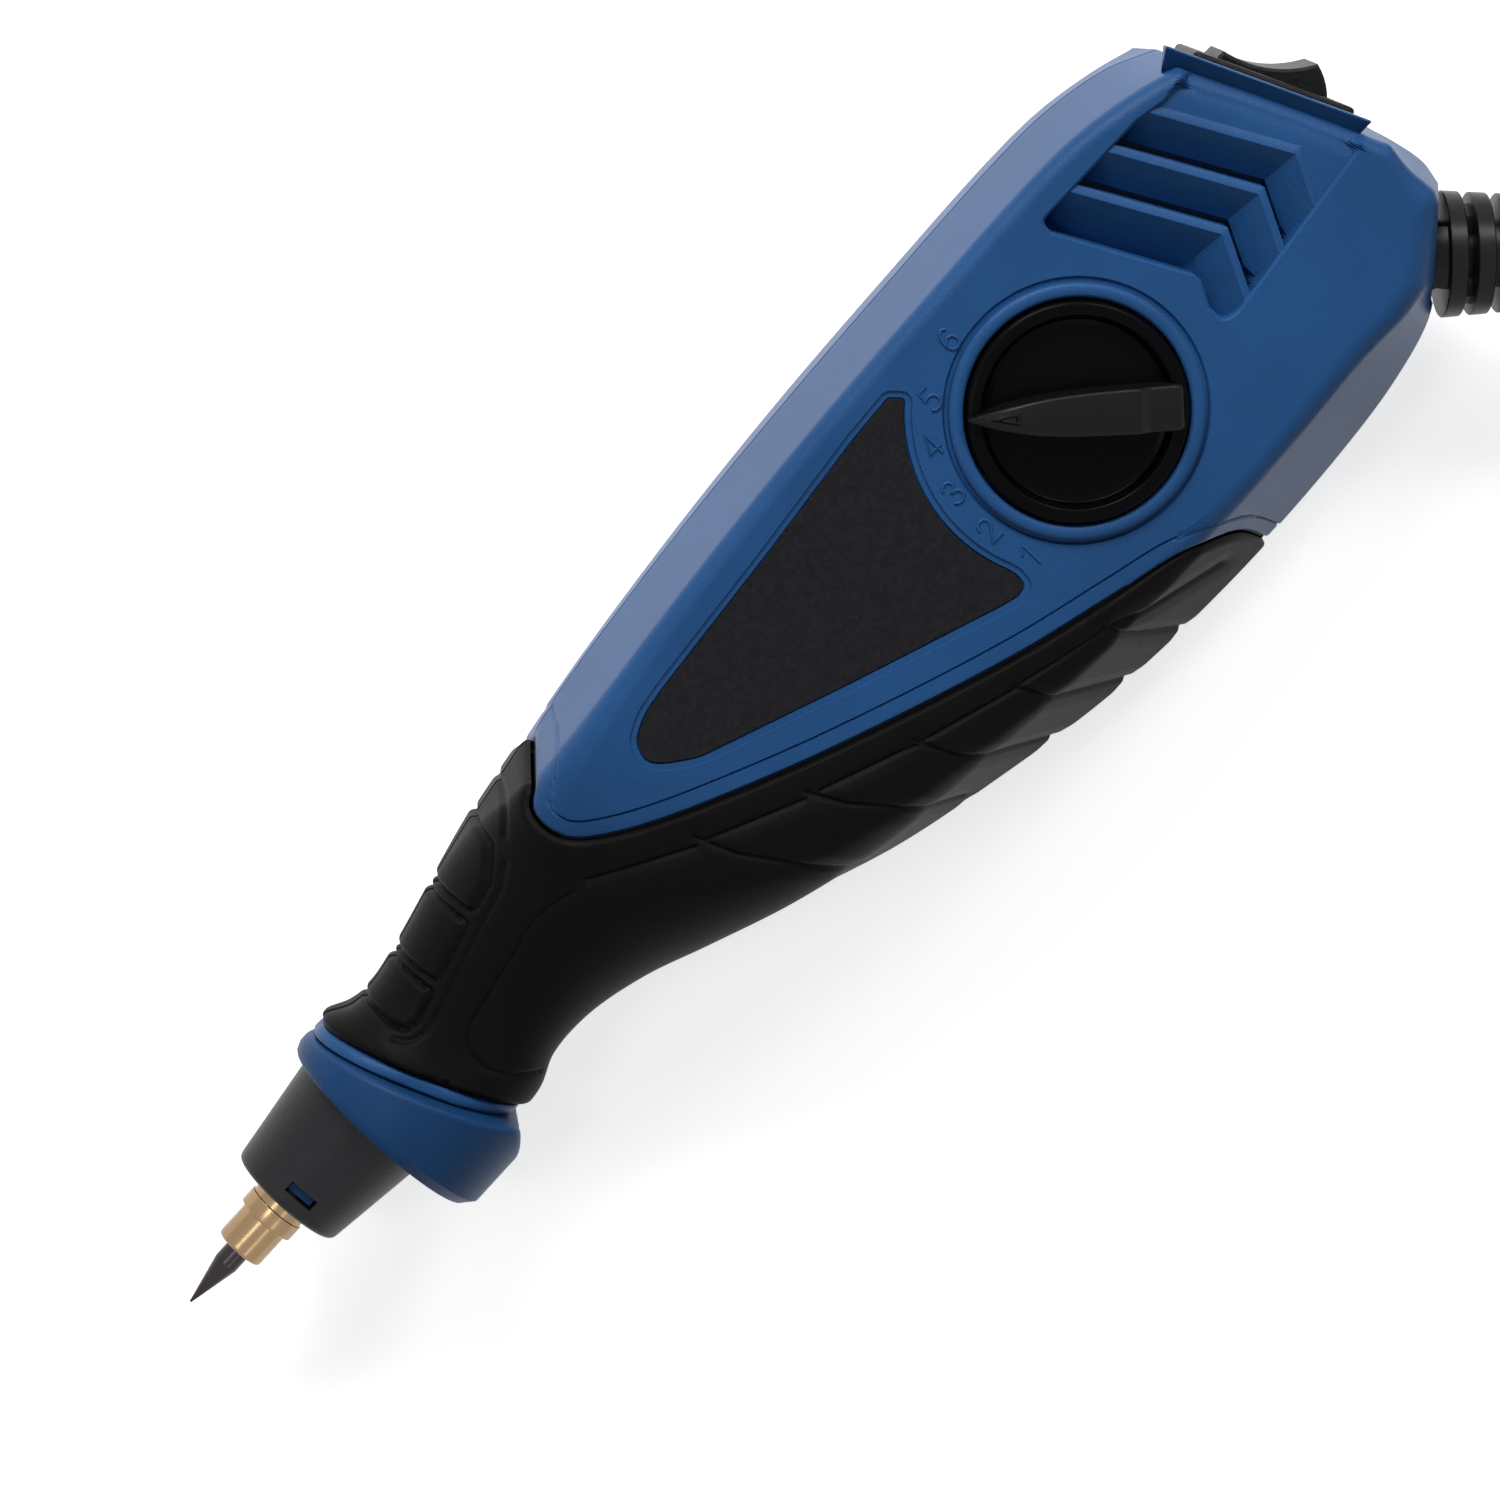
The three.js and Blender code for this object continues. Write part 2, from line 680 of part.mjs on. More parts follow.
// Fin along the vent's ridge line, or the slot in front of it where no top is given.
function finRibbon(offset, inner, outer, top) {
  const [start, bend, end] = plan(finRidgeShares);
  const line = [start, bend, end].map(point => new THREE.Vector2(point.x - offset, point.y));
  const directions = [bend.clone().sub(start).normalize(), end.clone().sub(bend).normalize()];
  const sides = directions.map(way => new THREE.Vector2(way.y, -way.x));
  const mitre = sides[0].clone().add(sides[1]).normalize();
  const stretch = 1 / mitre.dot(sides[0]);
  const across = [sides[0], mitre.multiplyScalar(stretch), sides[1]];
  const floor = halfThickness - ventDepth - clearance;
  const foot = halfThickness - ventDepth;
  const profile = top
    ? [[0, floor], [0, top], [-finRidgeWidth, top], [-outer, foot], [-outer, floor]]
    : [[-inner, -halfThickness], [-inner, farOut], [-outer, farOut], [-outer, -halfThickness]];
  const positions = [];
  line.forEach((point, i) => profile.forEach(([reach, z]) => {
    const place = point.clone().addScaledVector(across[i], -reach);
    positions.push(place.x, place.y, z);
  }));
  const size = profile.length;
  const faces = [];
  for (let i = 0; i + 1 < line.length; i++) {
    for (let k = 0; k < size; k++) {
      const [a, b] = [i * size + k, i * size + (k + 1) % size];
      faces.push(a, b, a + size, b, b + size, a + size);
    }
  }
  const last = (line.length - 1) * size;
  for (let k = 1; k + 1 < size; k++) {
    faces.push(0, k + 1, k);
    faces.push(last, last + k, last + k + 1);
  }
  const geometry = new THREE.BufferGeometry();
  geometry.setAttribute('position', new THREE.Float32BufferAttribute(positions, 3));
  geometry.setIndex(faces);
  return toSolid(geometry);
}

// The vent: a pocket in the dial face with sloped fins and a slot in front of each.
function withVent(shell) {
  const outline = plan(ventShares);
  const pocket = toSolid(prism(outline, halfThickness - ventDepth, farOut));
  const seat = toSolid(prism(grown(outline, clearance), 0, halfThickness));
  let vented = shell.subtract(pocket);
  for (let i = 0; i < finCount; i++) {
    const offset = i * station(finPitchShare);
    const fin = finRibbon(offset, 0, finRun, halfThickness - finTop).intersect(seat);
    const slot = finRibbon(offset, finRun - slotWidth, finRun, 0).intersect(pocketSpace(outline));
    vented = vented.add(fin).subtract(slot);
  }
  return vented;
}

// Space of the vent's pocket, down through the shell.
function pocketSpace(outline) {
  return toSolid(prism(grown(outline, -clearance), 0, halfThickness - finTop));
}

// Raised ring and well for the dial in the dial face.
function withDialSeat(shell) {
  const inner = ringRadius - ringWall;
  const crown = halfThickness + ringHeight;
  const ring = turnedUp([
    [halfThickness - wellDepth, inner],
    [halfThickness - wellDepth, ringRadius],
    [crown - ringEdge, ringRadius],
    [crown, ringRadius - ringEdge],
    [crown, inner + ringEdge],
    [crown - ringEdge, inner],
    [halfThickness - wellDepth, inner],
  ], largeSides);
  const well = post(inner, halfThickness - wellDepth, farOut, largeSides);
  const hole = post(shaftRadius + runningGap, 0, farOut);
  [ring, well, hole].forEach(part => part.translate(dialCentre.x, dialCentre.y, 0));
  return shell.subtract(toSolid(well)).add(toSolid(ring)).subtract(toSolid(hole));
}

// Flange round the switch and the cut-outs of switch and strain relief.
function withRearFittings(shell, side) {
  const start = partingGap / 2;
  const top = halfThickness - clearance;
  const [low, high] = side > 0 ? [start, top] : [-top, -start];
  const lip = block(-lipSeat, lipHeight, -lipHalfLength, lipHalfLength, low, high);
  const bezelRoom = [bezelLength / 2 + clearance, bezelWidth / 2 + clearance];
  const bodyRoom = [switchBodyLength / 2 + clearance, switchBodyWidth / 2 + clearance];
  const bezel = block(0, overrun, -bezelRoom[0], bezelRoom[0], -bezelRoom[1], bezelRoom[1]);
  const [roomLength, roomWidth] = bodyRoom;
  const body = block(-switchBodyDepth, overrun, -roomLength, roomLength, -roomWidth, roomWidth);
  const neck = bar(reliefNeckRadius + clearance, -switchBodyDepth, overrun * 2);
  const flangeRear = -reliefNeckLength + clearance;
  const flangeFront = -reliefNeckLength - reliefFlangeLength - clearance;
  const flange = bar(reliefFlangeRadius + clearance, flangeFront, flangeRear);
  return shell.add(toSolid(onFace(lip, switchFace)))
    .subtract(toSolid(onFace(bezel, switchFace)))
    .subtract(toSolid(onFace(body, switchFace)))
    .subtract(toSolid(onFace(neck, cordFace)))
    .subtract(toSolid(onFace(flange, cordFace)));
}

function shellHalf(side) {
  const start = partingGap / 2;
  const outer = halfForm(0, start, side).intersect(slantedSlab(gripFront, farRear));
  const rubberZone = toSolid(prism(grown(gripOutline(), clearance), -farOut, farOut));
  const core = halfForm(coreInset, start, side).intersect(slantedSlab(shoulderFront, farRear));
  const shoulder = halfForm(clearance, start, side)
    .intersect(slantedSlab(shoulderFront, gripFront - clearance));
  const half = halfSlab(0, farRear, start, side);
  const base = toSolid(bar(neckBaseRadius, station(noseRearShare) + clearance, gripFront + overrun))
    .intersect(slantedSlab(0, gripFront - clearance));
  const spigotFront = station(noseFrontShare) + noseEndWall + clearance;
  const spigot = toSolid(bar(spigotRadius, spigotFront, station(noseRearShare) + overrun));
  const rearSpace = block(station(mainCavityShare), farRear, -farOut, farOut, -farOut, farOut);
  const cavity = halfForm(cavityInset, -overrun, side).intersect(toSolid(rearSpace));
  const inside = halfForm(coreInset, start, side);
  let shell = outer.subtract(rubberZone).add(core).add(shoulder);
  shell = shell.add(base.add(spigot).intersect(half)).subtract(cavity);
  shell = shell.add(innerRibs(side).intersect(inside));
  screwPlaces.forEach(place => {
    shell = shell.add(screwBoss(place, side).intersect(inside));
  });
  shell = shell.subtract(axialBore());
  if (side > 0) shell = withSnapTab(withLabelPocket(withDialSeat(withVent(shell))));
  shell = withRearFittings(shell, side);
  screwPlaces.forEach(place => {
    shell = shell.subtract(screwHole(place, side));
  });
  return shell;
}

function withLabelPocket(shell) {
  const outline = grown(labelOutline(), clearance);
  return shell.subtract(toSolid(prism(outline, halfThickness - labelPocketDepth, farOut)));
}

const windowFront = station(noseFrontShare) + windowInset;

function windowBlock(gap, low, high) {
  const half = windowWidth / 2 - gap;
  return block(windowFront + gap, windowFront + windowLength - gap, -half, half, low, high);
}

function withSnapTab(shell) {
  const tab = windowBlock(clearance, spigotBore, spigotRadius + tabHeight);
  return shell.add(toSolid(tab));
}

function gripHalf(side) {
  const start = partingGap / 2;
  const outline = toSolid(prism(gripOutline(), -farOut, farOut));
  const above = halfSlab(0, farRear, start, side);
  const flush = above.intersect(halfSlab(0, farRear, -halfThickness, -side));
  const skin = halfForm(-gripProud, start, side).intersect(outline).intersect(flush);
  return skin.subtract(halfForm(rubberThickness, -overrun, side));
}

// Guard ring between the nose and the grip, cut slantwise at its rear.
function fingerGuard() {
  const front = station(collarFrontShare);
  const rear = shoulderFront - clearance;
  const ring = turned([
    [front, 0],
    [front, collarRadius - collarEdge],
    [front + collarEdge, collarRadius],
    [front + collarRadius * 2, collarRadius],
    [front + collarRadius * 2, 0],
  ], largeSides);
  ring.translate(0, -collarOffset, 0);
  const cutLine = collarChamferShare * overallLength;
  const chamfer = toSolid(prism([
    new THREE.Vector2(cutLine - farOut, -farOut),
    new THREE.Vector2(cutLine + farOut, farOut),
    new THREE.Vector2(-farRear, farOut),
    new THREE.Vector2(-farRear, -farOut),
  ], -farOut, farOut));
  const seatRear = station(noseRearShare) + clearance;
  const seat = bar(noseRearRadius + clearance, 0, seatRear, middleSides);
  const bore = bar(neckBaseRadius + clearance, 0, farRear, middleSides);
  return toSolid(ring).intersect(slantedSlab(0, rear)).intersect(chamfer)
    .subtract(toSolid(seat)).subtract(toSolid(bore));
}

// Nose cone: a tapered cap that slides over the spigot and snaps on the tab in its window.
function noseCone() {
  const front = station(noseFrontShare);
  const rear = station(noseRearShare);
  const cone = turned([
    [front, noseOpening],
    [front, noseFrontRadius - noseEdge],
    [front + noseEdge / 3, noseFrontRadius - noseEdge / 3],
    [front + noseEdge, noseFrontRadius],
    [rear, noseRearRadius],
    [rear, spigotRadius + clearance],
    [front + noseEndWall, spigotRadius + clearance],
    [front + noseEndWall, noseOpening],
    [front, noseOpening],
  ], largeSides);
  return toSolid(cone).subtract(toSolid(windowBlock(0, spigotRadius - tabHeight, collarRadius)));
}

function engravingBit() {
  const bit = turned([
    [0, 0],
    [0, bitPointRadius],
    [bitPointLength, bitRadius],
    [bitLength, bitRadius],
    [bitLength, 0],
  ], middleSides);
  const flatFront = bitLength - bitFlatLength;
  const flatTop = -bitRadius + bitFlatDepth;
  const flat = block(flatFront, bitLength + overrun, -overrun, overrun, -overrun, flatTop);
  return toSolid(bit).subtract(toSolid(flat));
}

const chuckTailRear = bitLength + clearance + chuckEndWall;

function chuck() {
  const front = station(chuckFrontShare);
  const flange = station(chuckFlangeShare);
  const stepRear = station(bushFrontShare) - stroke - clearance;
  const body = turned([
    [front, 0],
    [front, chuckRadius - chuckEdge],
    [front + chuckEdge, chuckRadius],
    [flange, chuckRadius],
    [flange, chuckFlangeRadius],
    [flange + chuckFlangeLength, chuckFlangeRadius],
    [flange + chuckFlangeLength, chuckBackRadius],
    [stepRear, chuckBackRadius],
    [stepRear, chuckTailRadius],
    [chuckTailRear, chuckTailRadius],
    [chuckTailRear, 0],
  ], middleSides);
  const bore = bar(bitRadius + clearance / 2, 0, bitLength + clearance);
  const tapped = post(grubRadius + clearance / 2, -farOut, 0);
  tapped.translate(front + grubOffset, 0, 0);
  return toSolid(body).subtract(toSolid(bore)).subtract(toSolid(tapped));
}

function grubScrew() {
  const top = -bitRadius - clearance;
  const screw = post(grubRadius, top - grubLength + clearance, top);
  screw.translate(station(chuckFrontShare) + grubOffset, 0, 0);
  return screw;
}

const springFront = station(springFrontShare);
const guideBushFront = station(webFrontShare) + webThickness / 2 - guideBushLength / 2;

// Return spring round the rod, between its collar and the guide bush.
class SpringCurve extends THREE.Curve {
  getPoint(t, target = new THREE.Vector3()) {
    const angle = t * springTurns * Math.PI * 2;
    const margin = springWire + clearance;
    const x = THREE.MathUtils.lerp(springFront + margin, guideBushFront - margin, t);
    const radius = springRadius - springWire;
    return target.set(x, radius * Math.cos(angle), radius * Math.sin(angle));
  }
}

function regularSection(radius, sides) {
  const points = [];
  for (let i = 0; i < sides; i++) {
    const angle = (i / sides) * Math.PI * 2;
    points.push(new THREE.Vector2(radius * Math.cos(angle), radius * Math.sin(angle)));
  }
  return new THREE.Shape(points);
}

function tube(curve, radius, sides, steps) {
  const section = regularSection(radius, sides);
  return new THREE.ExtrudeGeometry(section, { steps, bevelEnabled: false, extrudePath: curve });
}

function driveRod() {
  const front = chuckTailRear + clearance;
  const collarFront = springFront - springCollarLength;
  const rear = station(coreFrontShare) - clearance;
  return turned([
    [front, 0],
    [front, rodRadius],
    [collarFront, rodRadius],
    [collarFront, springRadius],
    [springFront, springRadius],
    [springFront, rodRadius],
    [rear, rodRadius],
    [rear, 0],
  ], smallSides);
}

// Laminated yoke: two end plates joined by a bar below the coil.
function yoke() {
  const front = station(yokeFrontShare);
  const rear = station(yokeRearShare) + yokePlate;
  const outline = [
    new THREE.Vector2(front, -yokeDrop),
    new THREE.Vector2(rear, -yokeDrop),
    new THREE.Vector2(rear, yokeReach),
    new THREE.Vector2(rear - yokePlate, yokeReach),
    new THREE.Vector2(rear - yokePlate, -yokeDrop + yokePlate),
    new THREE.Vector2(front + yokePlate, -yokeDrop + yokePlate),
    new THREE.Vector2(front + yokePlate, yokeReach),
    new THREE.Vector2(front, yokeReach),
  ];
  const frame = toSolid(prism(outline, -yokeHalfDepth, yokeHalfDepth));
  const rodHole = bar(rodRadius + runningGap, 0, front + yokePlate + overrun);
  const coreHole = bar(coreRadius + runningGap, rear - yokePlate - overrun, rear + overrun);
  return frame.subtract(toSolid(rodHole)).subtract(toSolid(coreHole));
}

const bobbinFront = station(yokeFrontShare) + yokePlate + clearance;
const bobbinRear = station(yokeRearShare) - clearance;

function bobbin() {
  const bore = coreRadius + runningGap;
  const barrel = bore + bobbinWall;
  return turned([
    [bobbinFront, bore],
    [bobbinFront, bobbinFlange],
    [bobbinFront + bobbinFlangeWall, bobbinFlange],
    [bobbinFront + bobbinFlangeWall, barrel],
    [bobbinRear - bobbinFlangeWall, barrel],
    [bobbinRear - bobbinFlangeWall, bobbinFlange],
    [bobbinRear, bobbinFlange],
    [bobbinRear, bore],
    [bobbinFront, bore],
  ], middleSides);
}

function winding() {
  const inner = coreRadius + runningGap + bobbinWall + clearance;
  const inset = bobbinFlangeWall + clearance;
  return sleeve(inner, windingRadius, bobbinFront + inset, bobbinRear - inset, middleSides);
}

// Dial knob: a dished disc with a pointed bar across it.
const knobBottom = halfThickness - wellDepth + clearance;
const knobFloor = knobBottom + knobFloorWall;
const knobRimTop = halfThickness + knobRimHeight;
const knobBarTop = halfThickness + knobBarHeight;
const shaftTop = knobBottom + knobSeat - clearance;

function dialKnob() {
  const inner = knobRadius - knobRimWidth;
  const disc = turnedUp([
    [knobBottom, 0],
    [knobBottom, knobRadius],
    [knobRimTop - ringEdge, knobRadius],
    [knobRimTop, knobRadius - ringEdge],
    [knobRimTop, inner + ringEdge],
    [knobFloor, inner],
    [knobFloor, 0],
  ], largeSides);
  const outline = barShares.map(([x, y]) => new THREE.Vector2(x * knobRadius, y * knobRadius));
  const grip = prism(outline, knobFloor - knobFloorWall / 2, knobBarTop);
  const seat = post(shaftRadius + clearance, 0, knobBottom + knobSeat);
  const thread = post(dialScrewRadius + clearance, 0, knobBottom + knobSeat * 2);
  return toSolid(disc).add(toSolid(grip)).subtract(toSolid(seat)).subtract(toSolid(thread));
}

// Eccentric cam under the dial, with its shaft and the collar that traps the spring washer.
const collarTop = halfThickness - cavityInset - washerThickness - clearance * 2;

function dialCam() {
  const disc = post(camRadius, -camHalfHeight, camHalfHeight, middleSides);
  disc.translate(camOffset, 0, 0);
  const shaft = turnedUp([
    [0, 0],
    [0, shaftRadius],
    [collarTop - shaftCollarHeight, shaftRadius],
    [collarTop - shaftCollarHeight, shaftCollarRadius],
    [collarTop, shaftCollarRadius],
    [collarTop, shaftRadius],
    [shaftTop, shaftRadius],
    [shaftTop, 0],
  ], middleSides);
  const hole = post(dialScrewRadius + clearance, -farOut, farOut);
  return toSolid(disc).add(toSolid(shaft)).subtract(toSolid(hole));
}

function dialScrew() {
  const seat = -camHalfHeight - clearance;
  const top = knobBottom + knobSeat * 2 - clearance;
  return turnedUp([
    [seat - dialScrewHeadHeight, 0],
    [seat - dialScrewHeadHeight, dialScrewHead],
    [seat, dialScrewHead],
    [seat, dialScrewRadius],
    [top, dialScrewRadius],
    [top, 0],
  ], smallSides);
}

function springWasher() {
  const low = collarTop + clearance;
  const inner = shaftRadius + runningGap;
  return turnedUp([
    [low, inner],
    [low, shaftCollarRadius],
    [low + washerThickness, shaftCollarRadius],
    [low + washerThickness, inner],
    [low, inner],
  ], middleSides);
}

function labelPlate() {
  const bottom = halfThickness - labelPocketDepth + clearance;
  return prism(labelOutline(), bottom, bottom + labelThickness);
}

// Switch body with its bezel, hollow where the rocker turns.
function switchBody() {
  const [bezelReach, bezelHalf] = [bezelLength / 2, bezelWidth / 2];
  const bezel = block(clearance, bezelHeight, -bezelReach, bezelReach, -bezelHalf, bezelHalf);
  const [reach, half] = [switchBodyLength / 2, switchBodyWidth / 2];
  const body = block(-switchBodyDepth, bezelHeight, -reach, reach, -half, half);
  const roomLength = rockerRadius + clearance;
  const roomWidth = rockerHalfWidth + rockerSideGap;
  const depth = rockerPivotDepth + rockerRadius + clearance;
  const room = block(-depth, overrun, -roomLength, roomLength, -roomWidth, roomWidth);
  const pivot = post(trunnionRadius + runningGap / 2, -bezelWidth, bezelWidth);
  pivot.translate(-rockerPivotDepth, 0, 0);
  return toSolid(bezel).add(toSolid(body)).subtract(toSolid(room)).subtract(toSolid(pivot));
}

// Rocker in its own frame, pivot at the origin, +X out of the switch.
function switchRocker() {
  const points = [];
  for (let i = 0; i <= rockerSteps; i++) {
    const angle = THREE.MathUtils.mapLinear(i, 0, rockerSteps, rockerLowAngle, rockerHighAngle);
    points.push(new THREE.Vector2(rockerRadius * Math.sin(angle), rockerRadius * Math.cos(angle)));
  }
  const top = points[points.length - 1];
  for (let i = 1; i < rockerSteps * 2; i++) {
    const across = THREE.MathUtils.mapLinear(i, 0, rockerSteps * 2, 1, -1);
    points.push(new THREE.Vector2(top.x - rockerDip * (1 - across * across), top.y * across));
  }
  for (let i = 0; i <= rockerSteps; i++) {
    const angle = THREE.MathUtils.mapLinear(i, 0, rockerSteps, rockerHighAngle, rockerLowAngle);
    points.push(new THREE.Vector2(rockerRadius * Math.sin(angle), -rockerRadius * Math.cos(angle)));
  }
  const rocker = prism(points, -rockerHalfWidth, rockerHalfWidth);
  const pinEnd = switchBodyWidth / 2 - clearance;
  return toSolid(rocker).add(toSolid(post(trunnionRadius, -pinEnd, pinEnd)));
}

// Ribbed strain relief along its own +X, with a neck and a flange caught in the housing.
function strainRelief() {
  const neckEnd = -reliefNeckLength;
  const flangeEnd = neckEnd - reliefFlangeLength;
  const profile = [
    [flangeEnd, 0],
    [flangeEnd, reliefFlangeRadius],
    [neckEnd, reliefFlangeRadius],
    [neckEnd, reliefNeckRadius],
    [reliefRibLength / 2, reliefNeckRadius],
  ];
  const length = reliefRibs * reliefPitch;
  for (let i = 0; i < reliefRibs; i++) {
    const front = reliefRibLength / 2 + i * reliefPitch;
    const rear = front + reliefRibLength;
    const rib = THREE.MathUtils.mapLinear(front, 0, length, reliefRibRadius, reliefEndRibRadius);
    const root = THREE.MathUtils.mapLinear(rear, 0, length, reliefRootRadius, reliefEndRootRadius);
    profile.push([front, rib], [rear, rib], [rear, root]);
    if (i + 1 < reliefRibs) profile.push([front + reliefPitch, root]);
  }
  const end = reliefRibLength / 2 + length;
  profile.push([end, reliefEndRootRadius], [end, 0]);
  return turned(profile, smallSides);
}

function cordTail() {
  const front = -reliefNeckLength - reliefFlangeLength - clearance;
  return bar(cordRadius, front - tailLength, front);
}

function terminal(side) {
  const y = side * terminalSpacing / 2;
  const rear = -switchBodyDepth - clearance;
  const thin = terminalThickness / 2;
  const half = terminalWidth / 2;
  return block(rear - terminalLength, rear, y - thin, y + thin, -half, half);
}

// A lead from one end to the other, by way of its bends and a straight start.
function lead(start, heading, bendShares, end) {
  const bends = bendShares.map(([x, y, z]) => {
    return new THREE.Vector3(x * overallLength, y * bodyWidth, z * halfThickness);
  });
  const away = start.clone().addScaledVector(heading, leadStart);
  const curve = new THREE.CatmullRomCurve3([start, away, ...bends, end], false, 'centripetal');
  return tube(curve, leadRadius, leadSides, (bends.length + 2) * leadStepsPerPoint);
}

// A point in a rear face's own frame, in the pen's frame.
function faceToPen(face, x, y, z) {
  const cos = Math.cos(face.angle);
  const sin = Math.sin(face.angle);
  return new THREE.Vector3(face.centre.x + x * cos - y * sin, face.centre.y + x * sin + y * cos, z);
}

function headingOf(face) {
  return new THREE.Vector3(-Math.cos(face.angle), -Math.sin(face.angle), 0);
}

// The two leads from the cord and the one from the switch to the coil.
function leads() {
  const tailEnd = -reliefNeckLength - reliefFlangeLength - clearance - tailLength;
  const live = faceToPen(cordFace, tailEnd - clearance, 0, leadSpread);
  const neutral = faceToPen(cordFace, tailEnd - clearance, 0, -leadSpread);
  const terminalEnd = -switchBodyDepth - clearance - terminalLength - leadEndGap;
  const liveEnd = faceToPen(switchFace, terminalEnd, -terminalSpacing / 2, 0);
  const loadStart = faceToPen(switchFace, terminalEnd, terminalSpacing / 2, 0);
  const coilLoad = new THREE.Vector3(bobbinRear, leadEndReach, -leadEndDepth);
  const coilNeutral = new THREE.Vector3(bobbinRear, -leadEndReach, -leadEndDepth);
  return [
    ['live_lead', lead(live, headingOf(cordFace), [], liveEnd), liveSleeve],
    ['load_lead', lead(loadStart, headingOf(switchFace), loadShares, coilLoad), liveSleeve],
    ['neutral_lead', lead(neutral, headingOf(cordFace), neutralShares, coilNeutral), neutralSleeve],
  ];
}

// Coil that spirals in on the upper layer and out again on the lower one, and runs straight for
// one cord diameter at each end.
class CoilCurve extends THREE.Curve {
  constructor() {
    super();
    this.arcLengthDivisions = coilTurns * coilStepsPerTurn * coilSamples;
  }

  getPoint(t, target = new THREE.Vector3()) {
    const inner = coilMeanRadius - coilPitch * coilTurns / 4;
    const half = coilTurns / 2;
    const outerLoop = Math.PI * 2 * (inner + coilPitch * half);
    const straight = cordRadius * 2 / outerLoop;
    const place = THREE.MathUtils.lerp(-half - straight, half + straight, t);
    const turn = THREE.MathUtils.clamp(place, -half, half);
    const reach = Math.hypot(turn, coilTurnback);
    const radius = inner + coilPitch * reach;
    const angle = coilStart + (turn + half) * Math.PI * 2;
    const outward = new THREE.Vector2(Math.cos(angle), Math.sin(angle));
    const onward = new THREE.Vector2(-outward.y, outward.x).multiplyScalar(radius * Math.PI * 2);
    onward.addScaledVector(outward, coilPitch * turn / reach);
    const flat = outward.multiplyScalar(radius).addScaledVector(onward, place - turn);
    const drop = THREE.MathUtils.smoothstep(turn, -climbHalfTurn, climbHalfTurn);
    const height = coilHeight + coilPitch * (1 - drop);
    return target.set(coilCentre[0] + flat.x, coilCentre[1] + flat.y, height);
  }
}

// Least free space between turns of the coil, on points along its curve.
function coilGap(curve) {
  const count = coilTurns * coilStepsPerTurn * 2;
  const points = curve.getSpacedPoints(count);
  let least = Infinity;
  points.forEach((point, i) => {
    for (let j = i + coilStepsPerTurn; j < points.length; j++) {
      least = Math.min(least, point.distanceTo(points[j]));
    }
  });
  return least - cordRadius * 2;
}

function routeTube(route) {
  const points = route.map(([x, y, z]) => new THREE.Vector3(x, y, z));
  const curve = new THREE.CatmullRomCurve3(points, false, 'centripetal');
  return tube(curve, cordRadius, cordSides, route.length - 1);
}

function plugBody() {
  const outline = plugOutlineShares.map(([x, y]) => {
    return new THREE.Vector2(-plugNoseLength - x * plugBodyLength, y * (plugHalfWidth - plugEdge));
  });
  const depth = (plugHalfHeight - plugEdge) * 2;
  const body = new THREE.ExtrudeGeometry(new THREE.Shape(outline), {
    depth,
    bevelSize: plugEdge,
    bevelThickness: plugEdge,
    bevelSegments: 1,
  });
  body.translate(0, 0, -depth / 2);
  const nose = turned([
    [-plugNoseLength - plugEdge, 0],
    [-plugNoseLength - plugEdge, plugNoseRearRadius],
    [0, plugNoseRadius],
    [0, 0],
  ], smallSides);
  const roots = [-1, 1].map(side => toSolid(blade(side, clearance, bladeRoot + clearance)));
  return toSolid(body).add(toSolid(nose)).subtract(roots[0]).subtract(roots[1]);
}

// A blade from the plug's front face, with its root sunk into the body.
function blade(side, gap, root) {
  const front = -plugNoseLength - plugBodyLength - plugEdge;
  const y = side * bladeSpacing / 2;
  const half = bladeThickness / 2 + gap;
  const height = bladeHalfHeight + gap;
  return block(front - bladeLength, front + root, y - half, y + half, -height, height);
}

const pen = new THREE.Group();
[['dial_side', 1], ['screw_side', -1]].forEach(([half, side]) => {
  pen.add(piece(`${half}_shell`, shellHalf(side), bluePlastic));
  pen.add(piece(`${half}_grip`, gripHalf(side), rubber));
});
pen.add(piece('finger_guard', fingerGuard(), bluePlastic));
pen.add(piece('nose_cone', noseCone(), blackPlastic));
pen.add(piece('engraving_bit', engravingBit(), carbide));
pen.add(piece('chuck', chuck(), brass));
pen.add(piece('chuck_grub_screw', grubScrew(), steel));
const bushInner = chuckTailRadius + runningGap;
const bushOuter = bushInner + bushWall;
const frontBush = sleeve(bushInner, bushOuter, station(bushFrontShare), station(bushRearShare));
pen.add(piece('front_bush', frontBush, bronze));
pen.add(piece('drive_rod', driveRod(), steel));
const springSteps = springTurns * springStepsPerTurn;
const spring = tube(new SpringCurve(), springWire, springWireSides, springSteps);
pen.add(piece('return_spring', spring, steel));
const guideInner = rodRadius + runningGap;
const guideOuter = guideInner + guideBushWall;
const guideRear = guideBushFront + guideBushLength;
const guideBush = sleeve(guideInner, guideOuter, guideBushFront, guideRear);
pen.add(piece('guide_bush', guideBush, bronze));
const coreRear = capRear - capSeatLength - clearance;
pen.add(piece('solenoid_core', bar(coreRadius, station(coreFrontShare), coreRear), laminations));
pen.add(piece('core_cap', bar(capRadius, coreRear + clearance, capRear), nylon));
pen.add(piece('solenoid_yoke', yoke(), laminations));
pen.add(piece('coil_bobbin', bobbin(), nylon));
pen.add(piece('coil_winding', winding(), enamelledCopper));
pen.add(piece('label_plate', labelPlate(), labelFilm));
leads().forEach(([name, shape, sleeve]) => pen.add(piece(name, shape, sleeve)));

